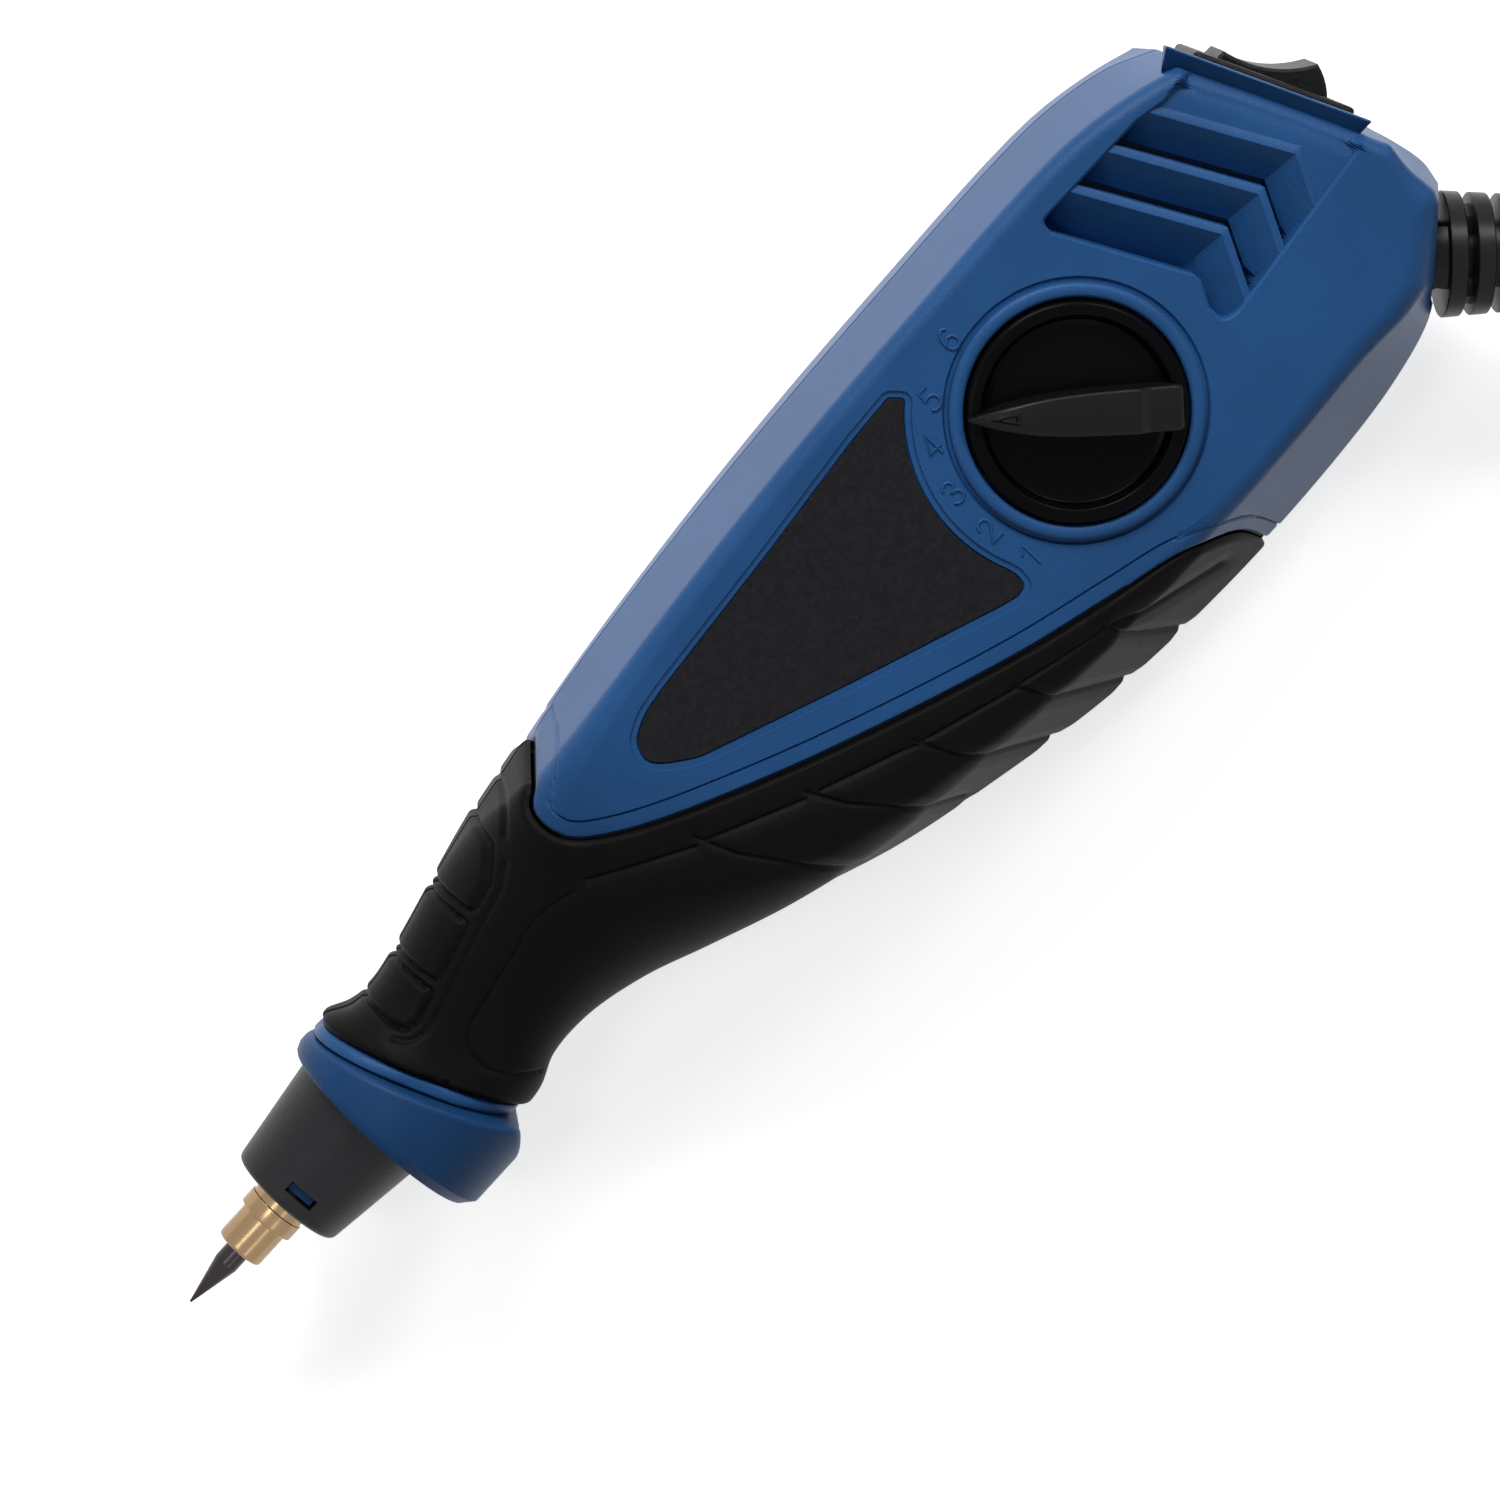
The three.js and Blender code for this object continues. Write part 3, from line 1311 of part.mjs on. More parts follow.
const dial = new THREE.Group();
dial.position.set(dialCentre.x, dialCentre.y, 0);
dial.rotation.z = pointerAngle;
dial.add(piece('dial_knob', dialKnob(), blackPlastic));
dial.add(piece('dial_cam', dialCam(), nylon));
dial.add(piece('dial_screw', dialScrew(), steel));
dial.add(piece('dial_spring_washer', springWasher(), steel));
pen.add(dial);

const rearSwitch = new THREE.Group();
rearSwitch.position.set(switchFace.centre.x, switchFace.centre.y, 0);
rearSwitch.rotation.z = switchFace.angle;
rearSwitch.add(piece('switch_body', switchBody(), blackPlastic));
rearSwitch.add(piece('switch_terminal_live', terminal(-1), brass));
rearSwitch.add(piece('switch_terminal_load', terminal(1), brass));
const rocker = piece('switch_rocker', switchRocker(), blackPlastic);
rocker.position.set(-rockerPivotDepth, 0, 0);
rocker.rotation.z = rockerTilt;
rearSwitch.add(rocker);
pen.add(rearSwitch);

const cordExit = new THREE.Group();
cordExit.position.set(cordFace.centre.x, cordFace.centre.y, 0);
cordExit.rotation.z = cordFace.angle;
cordExit.add(piece('strain_relief', strainRelief(), rubber));
cordExit.add(piece('cord_tail', cordTail(), rubber));

screwPlaces.forEach((place, i) => {
  pen.add(piece(`housing_screw_${i + 1}`, housingScrew(place), steel));
});

// The pen's own box is centred over the origin, with its lowest face on the table.
const part = new THREE.Group();
const box = new THREE.Box3().setFromObject(pen, true);
const centre = box.getCenter(new THREE.Vector3());
pen.position.set(-centre.x, -centre.y, -box.min.z);
pen.add(cordExit);
part.add(pen);

const coilCurve = new CoilCurve();
console.log(`least gap between the coil's turns: ${coilGap(coilCurve).toFixed(2)} mm`);
const coil = tube(coilCurve, cordRadius, coilSides, Math.round(coilTurns * coilStepsPerTurn));
const layerTop = coilHeight + coilPitch;
const drop = dropRoute.map(([x, y, z]) => {
  return [x, y, THREE.MathUtils.lerp(layerTop, halfThickness, z)];
});
const cordRun = new THREE.Group();
const reliefLength = reliefRibLength / 2 + reliefRibs * reliefPitch;
const reliefEnd = faceToPen(cordFace, reliefLength, 0, 0).add(pen.position);
cordRun.position.set(reliefEnd.x, reliefEnd.y, 0);
cordRun.add(piece('cord_drop', routeTube(drop), rubber));
cordRun.add(piece('cord_coil', coil, rubber));
cordRun.add(piece('cord_end', routeTube(plugRoute), rubber));
part.add(cordRun);

const plug = new THREE.Group();
plug.position.set(plugEntry[0], plugEntry[1], plugHalfHeight);
plug.add(piece('plug_body', plugBody(), rubber));
plug.add(piece('plug_blade_left', blade(-1, 0, bladeRoot), brass));
plug.add(piece('plug_blade_right', blade(1, 0, bladeRoot), brass));
cordRun.add(plug);

export default part;
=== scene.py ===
"""Dressed scene of an electric engraving pen that lies on its flat side, seen from above."""
import json
import math
import bmesh
import bpy
import numpy as np
from mathutils import Matrix, Vector
from mathutils.geometry import delaunay_2d_cdt


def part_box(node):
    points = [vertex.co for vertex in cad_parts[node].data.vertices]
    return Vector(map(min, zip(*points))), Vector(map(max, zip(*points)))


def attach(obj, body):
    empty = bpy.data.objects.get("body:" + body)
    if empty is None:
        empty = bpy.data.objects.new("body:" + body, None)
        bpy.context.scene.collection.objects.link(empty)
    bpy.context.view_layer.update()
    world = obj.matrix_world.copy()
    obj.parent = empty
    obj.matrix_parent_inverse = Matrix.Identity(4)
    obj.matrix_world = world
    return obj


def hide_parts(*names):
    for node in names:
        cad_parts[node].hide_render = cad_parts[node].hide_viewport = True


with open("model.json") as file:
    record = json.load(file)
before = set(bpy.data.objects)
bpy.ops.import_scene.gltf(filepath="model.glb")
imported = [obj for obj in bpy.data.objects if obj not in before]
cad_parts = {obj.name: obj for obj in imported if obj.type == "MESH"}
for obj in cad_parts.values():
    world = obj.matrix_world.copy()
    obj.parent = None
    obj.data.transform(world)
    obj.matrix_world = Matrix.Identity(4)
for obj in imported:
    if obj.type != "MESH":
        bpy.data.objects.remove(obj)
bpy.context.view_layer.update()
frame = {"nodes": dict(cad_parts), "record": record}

# Lengths below are in millimetres. The pen's own frame starts at the bit's tip on the bit's axis,
# +X to the rear and +Z out of the dial side, and its parting plane is at z = 0.
MM = 0.001
bit_low, bit_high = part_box("engraving_bit")
ORIGIN = (Vector(bit_low) + Vector(bit_high)) / 2
ORIGIN.x = bit_low[0]

OVERALL = 192.5
WIDTH = 53.0
HALF = 19.0
GAP = 0.15

WELD = 0.003
CORNER_ROOM = 0.48
NEARLY_STRAIGHT = 0.02
SHARP = 0.02


# Helpers; a shape is a pair of points in the pen's own frame and faces

def to_shared(points):
    """Points of the pen's own frame as an array in metres in the shared frame."""
    return np.asarray(points, dtype=float) * MM + np.array(ORIGIN)


def link(name, data):
    obj = bpy.data.objects.new(name, data)
    bpy.context.scene.collection.objects.link(obj)
    return obj


def solid(name, shape):
    """An object made from a shape, welded, with its faces turned outward."""
    points, faces = shape
    mesh = bpy.data.meshes.new(name)
    mesh.from_pydata([tuple(p) for p in to_shared(points)], [], [tuple(f) for f in faces])
    bm = bmesh.new()
    bm.from_mesh(mesh)
    bmesh.ops.remove_doubles(bm, verts=bm.verts, dist=WELD * MM)
    bmesh.ops.dissolve_degenerate(bm, edges=bm.edges, dist=WELD * MM)
    bmesh.ops.recalc_face_normals(bm, faces=bm.faces)
    bm.to_mesh(mesh)
    bm.free()
    return link(name, mesh)


def smoothstep(low, high, value):
    share = np.clip((value - low) / (high - low), 0.0, 1.0)
    return share * share * (3.0 - 2.0 * share)


def rim_fall(distance, radius, full=1.0):
    """How far a rounded rim falls below its surface, at a distance from the rim's edge."""
    share = 1 - np.clip(distance, 0, radius) / radius
    return radius * (1 - np.sqrt(1 - share ** 2 * full))


def evaluated(obj):
    """A new mesh of an object with its modifiers, or its curve's section, applied."""
    graph = bpy.context.evaluated_depsgraph_get()
    return bpy.data.meshes.new_from_object(obj.evaluated_get(graph))


def bake(obj):
    """Applies an object's modifiers."""
    mesh = evaluated(obj)
    obj.modifiers.clear()
    obj.data = mesh


def combine(obj, other, operation="DIFFERENCE"):
    """Takes the other object's space out of an object, or joins it on, and drops the other."""
    modifier = obj.modifiers.new("combine", "BOOLEAN")
    modifier.operation = operation
    modifier.solver = "EXACT"
    modifier.object = other
    bake(obj)
    bpy.data.objects.remove(other)


def rounded(points, radii, steps=4):
    """A polyline whose inner corners are rounded; radii is one value or one for each point."""
    pts = np.array(points, dtype=float)
    out = [pts[0]]
    for before, here, after, radius in zip(pts, pts[1:], pts[2:], np.broadcast_to(radii, len(pts))[1:]):
        back, on = before - here, after - here
        back_length, on_length = np.linalg.norm(back), np.linalg.norm(on)
        room = min(back_length, on_length) * CORNER_ROOM
        if radius <= 0 or room == 0:
            out.append(here)
            continue
        back, on = back / back_length, on / on_length
        spread = math.acos(max(-1.0, min(1.0, float(back @ on))))
        if spread > math.pi - NEARLY_STRAIGHT:
            out.append(here)
            continue
        reach = min(radius / math.tan(spread / 2), room)
        start, end = here + back * reach, here + on * reach
        for k in range(steps + 1):
            t = k / steps
            out.append(start * (1 - t) ** 2 + here * 2 * t * (1 - t) + end * t * t)
    out.append(pts[-1])
    return out


def anticlockwise(outline):
    ring = np.asarray(outline)
    area = np.sum(ring[:, 0] * np.roll(ring[:, 1], -1) - np.roll(ring[:, 0], -1) * ring[:, 1])
    return ring if area > 0 else ring[::-1]


def closed_rounded(points, radius, steps=4):
    """A closed outline that runs anticlockwise, with every corner rounded."""
    radii = [0, *np.broadcast_to(radius, len(points)), 0]
    return anticlockwise(rounded([points[-1], *points, points[0]], radii, steps)[1:-1])


def box_outline(x0, x1, y0, y1, radius, steps=6):
    return closed_rounded([(x0, y0), (x1, y0), (x1, y1), (x0, y1)], radius, steps)


def round_angles(count):
    return np.arange(count) / count * math.tau


def lofted(rings, caps=True, closed=False):
    """A shape through rings of equal count, with flat ends, open, or closed from last to first."""
    size = len(rings[0])
    points = [tuple(p) for ring in rings for p in ring]
    faces = []
    for i in range(len(rings) if closed else len(rings) - 1):
        here, there = i * size, (i + 1) % len(rings) * size
        for j in range(size):
            k = (j + 1) % size
            faces.append((here + j, here + k, there + k, there + j))
    if caps:
        last = (len(rings) - 1) * size
        faces.append(tuple(range(size)))
        faces.append(tuple(range(last, last + size)))
    return points, faces


def turned(profile, sides, closed=False):
    """A shape turned about the X axis from [x, radius] pairs."""
    rings = [[(x, r * math.cos(a), r * math.sin(a)) for a in round_angles(sides)] for x, r in profile]
    return lofted(rings, caps=False, closed=closed)


def inset(outline, distance):
    """A closed outline moved inward by a distance; the outline runs anticlockwise."""
    ring = np.asarray(outline, dtype=float)
    before = ring - np.roll(ring, 1, axis=0)
    after = np.roll(ring, -1, axis=0) - ring
    before /= np.linalg.norm(before, axis=1)[:, None]
    after /= np.linalg.norm(after, axis=1)[:, None]
    side = np.stack([-before[:, 1] - after[:, 1], before[:, 0] + after[:, 0]], axis=1)
    side /= np.linalg.norm(side, axis=1)[:, None]
    lean = np.maximum(side[:, 1] * before[:, 0] - side[:, 0] * before[:, 1], 0.5)
    return ring + side * (distance / lean)[:, None]


def slab(outline, low, high, low_round, high_round, steps=5):
    """An upright slab with rounded rims."""
    quarter = [k / steps * math.pi / 2 for k in range(steps + 1)]
    rings = []
    for edge, radius, angles in ((low, low_round, quarter), (high, -high_round, quarter[::-1])):
        for a in angles:
            ring = inset(outline, abs(radius) * (1 - math.sin(a)))
            rings.append([(x, y, edge + radius * (1 - math.cos(a))) for x, y in ring])
    return lofted(rings)


def box_mesh(x0, x1, y0, y1, z0, z1):
    points = [(x, y, z) for x in (x0, x1) for y in (y0, y1) for z in (z0, z1)]
    faces = [(0, 1, 3, 2), (4, 6, 7, 5), (0, 4, 5, 1), (2, 3, 7, 6), (0, 2, 6, 4), (1, 5, 7, 3)]
    return points, faces


def posts(places, radius, low, high, sides=48):
    """Upright cylinders as one shape."""
    parts = []
    for x, y in places:
        ring = [(x + radius * math.cos(a), y + radius * math.sin(a)) for a in round_angles(sides)]
        parts.append(lofted([[(u, v, z) for u, v in ring] for z in (low, high)]))
    return joined(parts)


def joined(parts):
    """Points and faces of several parts as one."""
    points, faces = [], []
    for pts, part_faces in parts:
        first = len(points)
        points += [tuple(p) for p in pts]
        faces += [tuple(int(i) + first for i in face) for face in part_faces]
    return points, faces


def moved(shape, angle, place):
    """A shape turned about Z and moved in plan."""
    pts = np.asarray(shape[0], dtype=float)
    cos, sin = math.cos(angle), math.sin(angle)
    out = pts.copy()
    out[:, 0] = place[0] + pts[:, 0] * cos - pts[:, 1] * sin
    out[:, 1] = place[1] + pts[:, 0] * sin + pts[:, 1] * cos
    return out, shape[1]


def reordered(shape, order):
    """A shape whose coordinates change places."""
    return np.asarray(shape[0], dtype=float)[:, order], shape[1]


def wire(name, runs, radius, resolution):
    """A curve object with a round section through runs of places in metres."""
    curve = bpy.data.curves.new(name, "CURVE")
    curve.dimensions = "3D"
    for places in runs:
        line = curve.splines.new("POLY")
        line.points.add(len(places) - 1)
        for point, place in zip(line.points, places):
            point.co = (*place, 1)
    curve.bevel_depth = radius * MM
    curve.bevel_resolution = resolution
    curve.use_fill_caps = True
    return link(name, curve)


def solid_wire(name, runs, radius, resolution):
    """A mesh object with a wire's shape."""
    curve = wire(name + "_curve", runs, radius, resolution)
    bpy.context.view_layer.update()
    mesh = evaluated(curve)
    bpy.data.objects.remove(curve)
    return link(name, mesh)


def finish_piece(obj, body, look, replaces=(), angle=30):
    """Gives an object its material and its body, hides the nodes it stands for, and shades it smooth up to
    an angle.
    """
    obj.data.materials.clear()
    obj.data.materials.append(look)
    obj.data.shade_smooth()
    obj.data.set_sharp_from_angle(angle=math.radians(angle))
    obj.modifiers.new("weighted", "WEIGHTED_NORMAL").keep_sharp = True
    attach(obj, body)
    if replaces:
        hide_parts(*replaces)


def piece(name, shape, body, look, replaces=(), angle=30):
    """A finished piece on a body, in place of CAD nodes."""
    obj = solid(name, shape)
    finish_piece(obj, body, look, replaces, angle)
    return obj


# Housing form

# Outlines at the parting plane, front to rear: station and distance from the axis as shares of
# the length and the width, then the flank's lean and ridge radius as shares of the half thickness.
BACK_ROWS = [
    (0.156, 0.208, 0, 0.558), (0.184, 0.206, 0, 0.547), (0.2, 0.175, 0, 0.474),
    (0.218, 0.168, 0, 0.463), (0.239, 0.179, 0, 0.484), (0.26, 0.196, 0, 0.505),
    (0.291, 0.223, 0, 0.542), (0.332, 0.253, 0.032, 0.5), (0.374, 0.277, 0.084, 0.263),
    (0.426, 0.308, 0.116, 0.158), (0.488, 0.332, 0.116, 0.116), (0.561, 0.353, 0.111, 0.105),
    (0.644, 0.368, 0.105, 0.105), (0.738, 0.377, 0.105, 0.105), (0.831, 0.381, 0.105, 0.105),
    (0.873, 0.372, 0.105, 0.105), (0.914, 0.338, 0.095, 0.105), (0.942, 0.287, 0.053, 0.095),
    (0.968, 0.06, 0.042, 0.084), (0.993, -0.162, 0.047, 0.095), (0.998, -0.23, 0.132, 0.158),
]
BELLY_ROWS = [
    (0.156, -0.243, 0, 0.568), (0.184, -0.243, 0, 0.568), (0.2, -0.243, 0, 0.558),
    (0.218, -0.243, 0, 0.521), (0.239, -0.238, 0, 0.489), (0.26, -0.209, 0, 0.495),
    (0.291, -0.206, 0, 0.537), (0.332, -0.236, 0, 0.605), (0.374, -0.294, 0.053, 0.632),
    (0.426, -0.375, 0.158, 0.579), (0.488, -0.464, 0.289, 0.474), (0.561, -0.532, 0.395, 0.368),
    (0.644, -0.591, 0.458, 0.263), (0.738, -0.617, 0.495, 0.184), (0.831, -0.613, 0.5, 0.158),
    (0.894, -0.591, 0.474, 0.168), (0.935, -0.553, 0.368, 0.189), (0.957, -0.502, 0.263, 0.211),
    (0.978, -0.432, 0.211, 0.211), (0.998, -0.362, 0.184, 0.211), (1.001, -0.306, 0.158, 0.2),
]
THICKNESS = [
    (0.156, 0.589), (0.2, 0.584), (0.218, 0.521), (0.239, 0.495), (0.26, 0.511), (0.291, 0.579),
    (0.332, 0.716), (0.374, 0.858), (0.405, 0.942), (0.436, 0.989), (0.468, 1), (0.6, 1), (1.01, 1),
]
GRIP_EDGE = [
    (0.404, 0.3143), (0.379, 0.255), (0.367, 0.221), (0.365, 0.17), (0.371, 0.117), (0.393, 0.053),
    (0.471, -0.091), (0.538, -0.196), (0.629, -0.319), (0.692, -0.385), (0.733, -0.43),
    (0.752, -0.475), (0.767, -0.532), (0.776, -0.66),
]
FACE_CORNER_ROWS = (17, 19, 22, 24)
CORNER_SHARE = 0.12
STEPS_PER_ROW = 24
LEAST_STRAIGHT = 0.9
GRIP_SLOPE = 0.356
GRIP_FRONT = 0.203 * OVERALL
RUN_SAMPLES = 2400
SEARCH_FROM = 100
SEARCH_TO = 1000


def in_mm(rows):
    """Places in plan from rows that begin with their shares of the length and the width."""
    return np.array([row[:2] for row in rows]) * (OVERALL, WIDTH)


def monotone(table):
    """A smooth curve through a table of pairs, without overshoot, as a function of an array."""
    xs = np.array([row[0] for row in table]) * OVERALL
    ys = np.array([row[1] for row in table]) * HALF
    width = np.diff(xs)
    slope = np.diff(ys) / width
    tangent = np.zeros(len(xs))
    for i in range(1, len(xs) - 1):
        if slope[i - 1] * slope[i] > 0:
            a, b = 2 * width[i] + width[i - 1], width[i] + 2 * width[i - 1]
            tangent[i] = (a + b) / (a / slope[i - 1] + b / slope[i])

    def value(x):
        x = np.clip(np.asarray(x, dtype=float), xs[0], xs[-1])
        i = np.clip(np.searchsorted(xs, x, side="right") - 1, 0, len(width) - 1)
        t = (x - xs[i]) / width[i]
        rise = width[i] * ((t ** 3 - 2 * t * t + t) * tangent[i] + (t ** 3 - t * t) * tangent[i + 1])
        return ys[i] * (2 * t ** 3 - 3 * t * t + 1) + ys[i + 1] * (3 * t * t - 2 * t ** 3) + rise

    return value


thickness = monotone(THICKNESS)


def run_length(points, power=1.0):
    """Length along a polyline at each of its points, with every step raised to a power."""
    steps = np.linalg.norm(np.diff(points, axis=0), axis=1) ** power
    return np.concatenate([[0], np.cumsum(steps)])


def spline(points, steps):
    """Centripetal curve through points of any dimension, with the same knots on every column."""
    pts = np.asarray(points, dtype=float)
    return hermite(pts, run_length(pts[:, :2], 0.5), steps)


def hermite(pts, knots, steps):
    count = len(pts)
    chord = np.diff(pts, axis=0) / np.diff(knots).reshape((-1,) + (1,) * (pts.ndim - 1))
    tangent = np.empty_like(pts)
    tangent[0], tangent[-1] = chord[0], chord[-1]
    for i in range(1, count - 1):
        across = (pts[i + 1] - pts[i - 1]) / (knots[i + 1] - knots[i - 1])
        tangent[i] = chord[i - 1] - across + chord[i]
    out = []
    for i in range(count - 1):
        width = knots[i + 1] - knots[i]
        for k in range(steps):
            t = k / steps
            out.append(pts[i] * (2 * t ** 3 - 3 * t * t + 1) + pts[i + 1] * (3 * t * t - 2 * t ** 3)
                       + width * tangent[i] * (t ** 3 - 2 * t * t + t)
                       + width * tangent[i + 1] * (t ** 3 - t * t))
    out.append(pts[-1])
    return np.array(out)


def flank(height, lean, radius, straight, arcs):
    """Pairs of distance inward and height from near the parting plane up to the side face."""
    tilt = math.atan2(lean, height)
    half = math.tan((math.pi / 2 - tilt) / 2)
    radius = min(radius, (height - GAP - LEAST_STRAIGHT) / math.cos(tilt) / half)
    reach = radius * half
    arc = []
    for i in range(arcs + 1):
        angle = (math.pi - tilt) + (tilt - math.pi / 2) * i / arcs
        arc.append((lean + reach + radius * math.cos(angle),
                    height - radius + radius * math.sin(angle)))
    start = (lean * GAP / height, GAP)
    lower = [(start[0] + (arc[0][0] - start[0]) * share, start[1] + (arc[0][1] - start[1]) * share)
             for share in straight]
    return lower + arc


def form_samples(straight, arcs):
    """Dense flank levels of the upper half: an array of samples by levels by coordinates."""
    ring = BACK_ROWS + BELLY_ROWS[::-1]
    corners = in_mm(ring)
    rows = []
    for j, row in enumerate(ring):
        along = corners[min(j + 1, len(ring) - 1)] - corners[max(j - 1, 0)]
        inward = np.array([along[1], -along[0]]) / np.linalg.norm(along)
        height = float(thickness(corners[j][0]))
        levels = flank(height, row[2] * HALF, row[3] * HALF, straight, arcs)
        rows.append([(*(corners[j] + inward * reach), z) for reach, z in levels])
    rows = np.array(rows)
    places = []
    for j, row in enumerate(rows):
        nearby = (-1, 0, 1) if j in FACE_CORNER_ROWS else (0,)
        places += [row + (rows[j + k] - row) * CORNER_SHARE for k in nearby]
    places = np.array(places)
    samples = hermite(places, run_length(places[:, 0, :2], 0.5), STEPS_PER_ROW)
    # Every level's height follows the smooth thickness at the place where the level is.
    samples[:, :, 2] *= thickness(samples[:, :, 0]) / samples[:, -1, 2][:, None]
    return samples


edge_line = spline(in_mm(GRIP_EDGE), 16)


def line_distance(line, x, y):
    """Signed distance in plan from a polyline; its left side is positive."""
    pts = np.stack([np.ravel(x), np.ravel(y)], axis=1)
    best = np.full(len(pts), 1e9)
    sign = np.ones(len(pts))
    for a, d in zip(line[:-1], np.diff(line, axis=0)):
        t = np.clip(((pts - a) @ d) / (d @ d), 0, 1)
        away = pts - (a + t[:, None] * d)
        reach = np.hypot(away[:, 0], away[:, 1])
        side = d[0] * away[:, 1] - d[1] * away[:, 0]
        nearer = reach < best - 1e-9
        best = np.where(nearer, reach, best)
        sign = np.where(nearer, np.sign(side), sign)
    return (best * sign).reshape(np.shape(x))


def edge_distance(x, y):
    """Distance in plan from the rubber's edge, positive on the blue side."""
    return line_distance(edge_line, x, y)


def front_distance(x, y):
    """Distance in plan behind the rubber's slanted front line."""
    return (x - GRIP_FRONT + GRIP_SLOPE * y) / math.hypot(1, GRIP_SLOPE)


def near_line(line, pts):
    """Distance in plan of points from a polyline, without its sign."""
    return np.abs(line_distance(np.asarray(line), pts[:, 0], pts[:, 1]))


def crossing(level, values, target, span):
    """Fractional sample where a level's value passes the target, within a span."""
    step = 1 if span[1] > span[0] else -1
    for i in range(*span, step):
        a, b = values[i, level], values[i + step, level]
        if (a - target) * (b - target) <= 0 and a != b:
            return i + step * (target - a) / (b - a)
    raise ValueError("a level has no crossing")


class Form:
    """The housing's outer form at one fineness, and the places where its levels are cut."""

    def __init__(self, straight, arcs):
        self.samples = form_samples(straight, arcs)
        self.levels = self.samples.shape[1]
        x, y = self.samples[:, :, 0], self.samples[:, :, 1]
        self.edge = edge_distance(x, y)
        self.front = front_distance(x, y)
        middle = len(self.samples) // 2
        # Spans of samples, on the back and on the belly, in which a line is crossed once.
        self.edge_spans = ((SEARCH_FROM, middle), (middle, SEARCH_TO))
        self.front_spans = ((0, SEARCH_FROM), (len(self.samples) - 1, SEARCH_TO))

    def points_at(self, level, index):
        """The places at fractional samples of a level."""
        line = self.samples[:, level]
        base = np.clip(np.asarray(index).astype(int), 0, len(line) - 2)
        share = (index - base)[:, None]
        return line[base] * (1 - share) + line[base + 1] * share

    def crossed(self, values, target, span, every=1):
        """The places where the levels' values pass the target."""
        return [self.points_at(level, [crossing(level, values, target, span)])[0]
                for level in range(0, self.levels, every)]

    def run(self, start, end, count, reach, end_count):
        """A grid of levels by places between two crossings, close together near both ends."""
        near = np.linspace(0, reach, end_count)
        rows = []
        for level in range(self.levels):
            index = np.linspace(crossing(level, *start), crossing(level, *end), RUN_SAMPLES)
            pts = self.points_at(level, index)
            along = run_length(pts)
            inner = np.linspace(reach, along[-1] - reach, count)[1:-1]
            at = np.concatenate([near, inner, along[-1] - near[::-1]])
            rows.append(np.stack([np.interp(at, along, pts[:, k]) for k in range(3)], axis=1))
        return np.array(rows)


def grid_normals(grid):
    """Unit normals of a grid of levels by places, up at the middle of the last level."""
    normal = np.cross(np.gradient(grid, axis=1), np.gradient(grid, axis=0))
    normal /= np.linalg.norm(normal, axis=2)[:, :, None] + 1e-12
    return normal if normal[-1, normal.shape[1] // 2, 2] >= 0 else -normal


def grid_shape(grid):
    levels, count = grid.shape[:2]
    faces = [(a, a + 1, a + count + 1, a + count)
             for k in range(levels - 1) for a in range(k * count, (k + 1) * count - 1)]
    return grid.reshape(-1, 3), faces


def offset_line(line, distance):
    """A polyline moved to its left by a distance."""
    along = np.gradient(line, axis=0)
    left = np.stack([-along[:, 1], along[:, 0]], axis=1)
    left /= np.linalg.norm(left, axis=1)[:, None]
    return line + left * distance


def between(line, start, end):
    """The part of a polyline strictly between the places nearest to two points."""
    first, last = (int(np.argmin(np.linalg.norm(line - place[:2], axis=1))) for place in (start, end))
    return line[first + 1:last]


def inside(polygon, pts):
    """Which points lie in a polygon."""
    x, y = pts[:, 0], pts[:, 1]
    hit = np.zeros(len(pts), dtype=bool)
    ring = np.asarray(polygon)
    for (x0, y0), (x1, y1) in zip(ring, np.roll(ring, -1, axis=0)):
        if y0 == y1:
            continue
        crosses = (y0 > y) != (y1 > y)
        hit ^= crosses & (x < (x1 - x0) * (y - y0) / (y1 - y0) + x0)
    return hit


def outline_distance(polygon, x, y):
    """Signed distance in plan from a closed outline, positive inside."""
    ring = np.vstack([polygon, polygon[:1]])
    away = np.abs(line_distance(ring, x, y))
    pts = np.stack([np.ravel(x), np.ravel(y)], axis=1)
    hit = inside(polygon, pts).reshape(np.shape(x))
    return np.where(hit, away, -away)


FILL_ROW = 0.87
FILL_RIM = 0.6


def filled(boundary, lines, spacing, margin=0.25, bare=None, clear=0.4):
    """Triangles in plan over a boundary, with lines and a fill of points as their corners.

    Gives the points, the triangles and, for each point, its place on the boundary or -1.
    """
    count = len(boundary)
    verts = [Vector(p) for p in boundary]
    edges = [(i, (i + 1) % count) for i in range(count)]
    ring = np.vstack([boundary, boundary[:1]])
    for line in lines:
        kept = inside(boundary, line) & (near_line(ring, line) > margin)
        for k in np.flatnonzero(kept):
            verts.append(Vector(line[k]))
            if k and kept[k - 1]:
                edges.append((len(verts) - 2, len(verts) - 1))
    low, high = boundary.min(axis=0), boundary.max(axis=0)
    grid = np.array([(x + (k % 2) * spacing / 2, y)
                     for k, y in enumerate(np.arange(low[1], high[1], spacing * FILL_ROW))
                     for x in np.arange(low[0], high[0], spacing)])
    grid = grid[inside(boundary, grid)]
    grid = grid[near_line(ring, grid) > spacing * FILL_RIM]
    if bare is not None:
        grid = grid[~inside(bare, grid)]
    for line in lines:
        grid = grid[near_line(line, grid) > spacing * clear]
    verts += [Vector(p) for p in grid]
    out, _, faces, origin, _, _ = delaunay_2d_cdt(verts, edges, [], 0, 1e-5)
    out = np.array([tuple(v) for v in out])
    faces = np.array([f for f in faces if len(f) == 3])
    faces = faces[inside(boundary, out[faces].mean(axis=1))]
    at_boundary = np.full(len(out), -1)
    for index, source in enumerate(origin):
        for k in source:
            if k < count:
                at_boundary[index] = k
    return out, faces, at_boundary


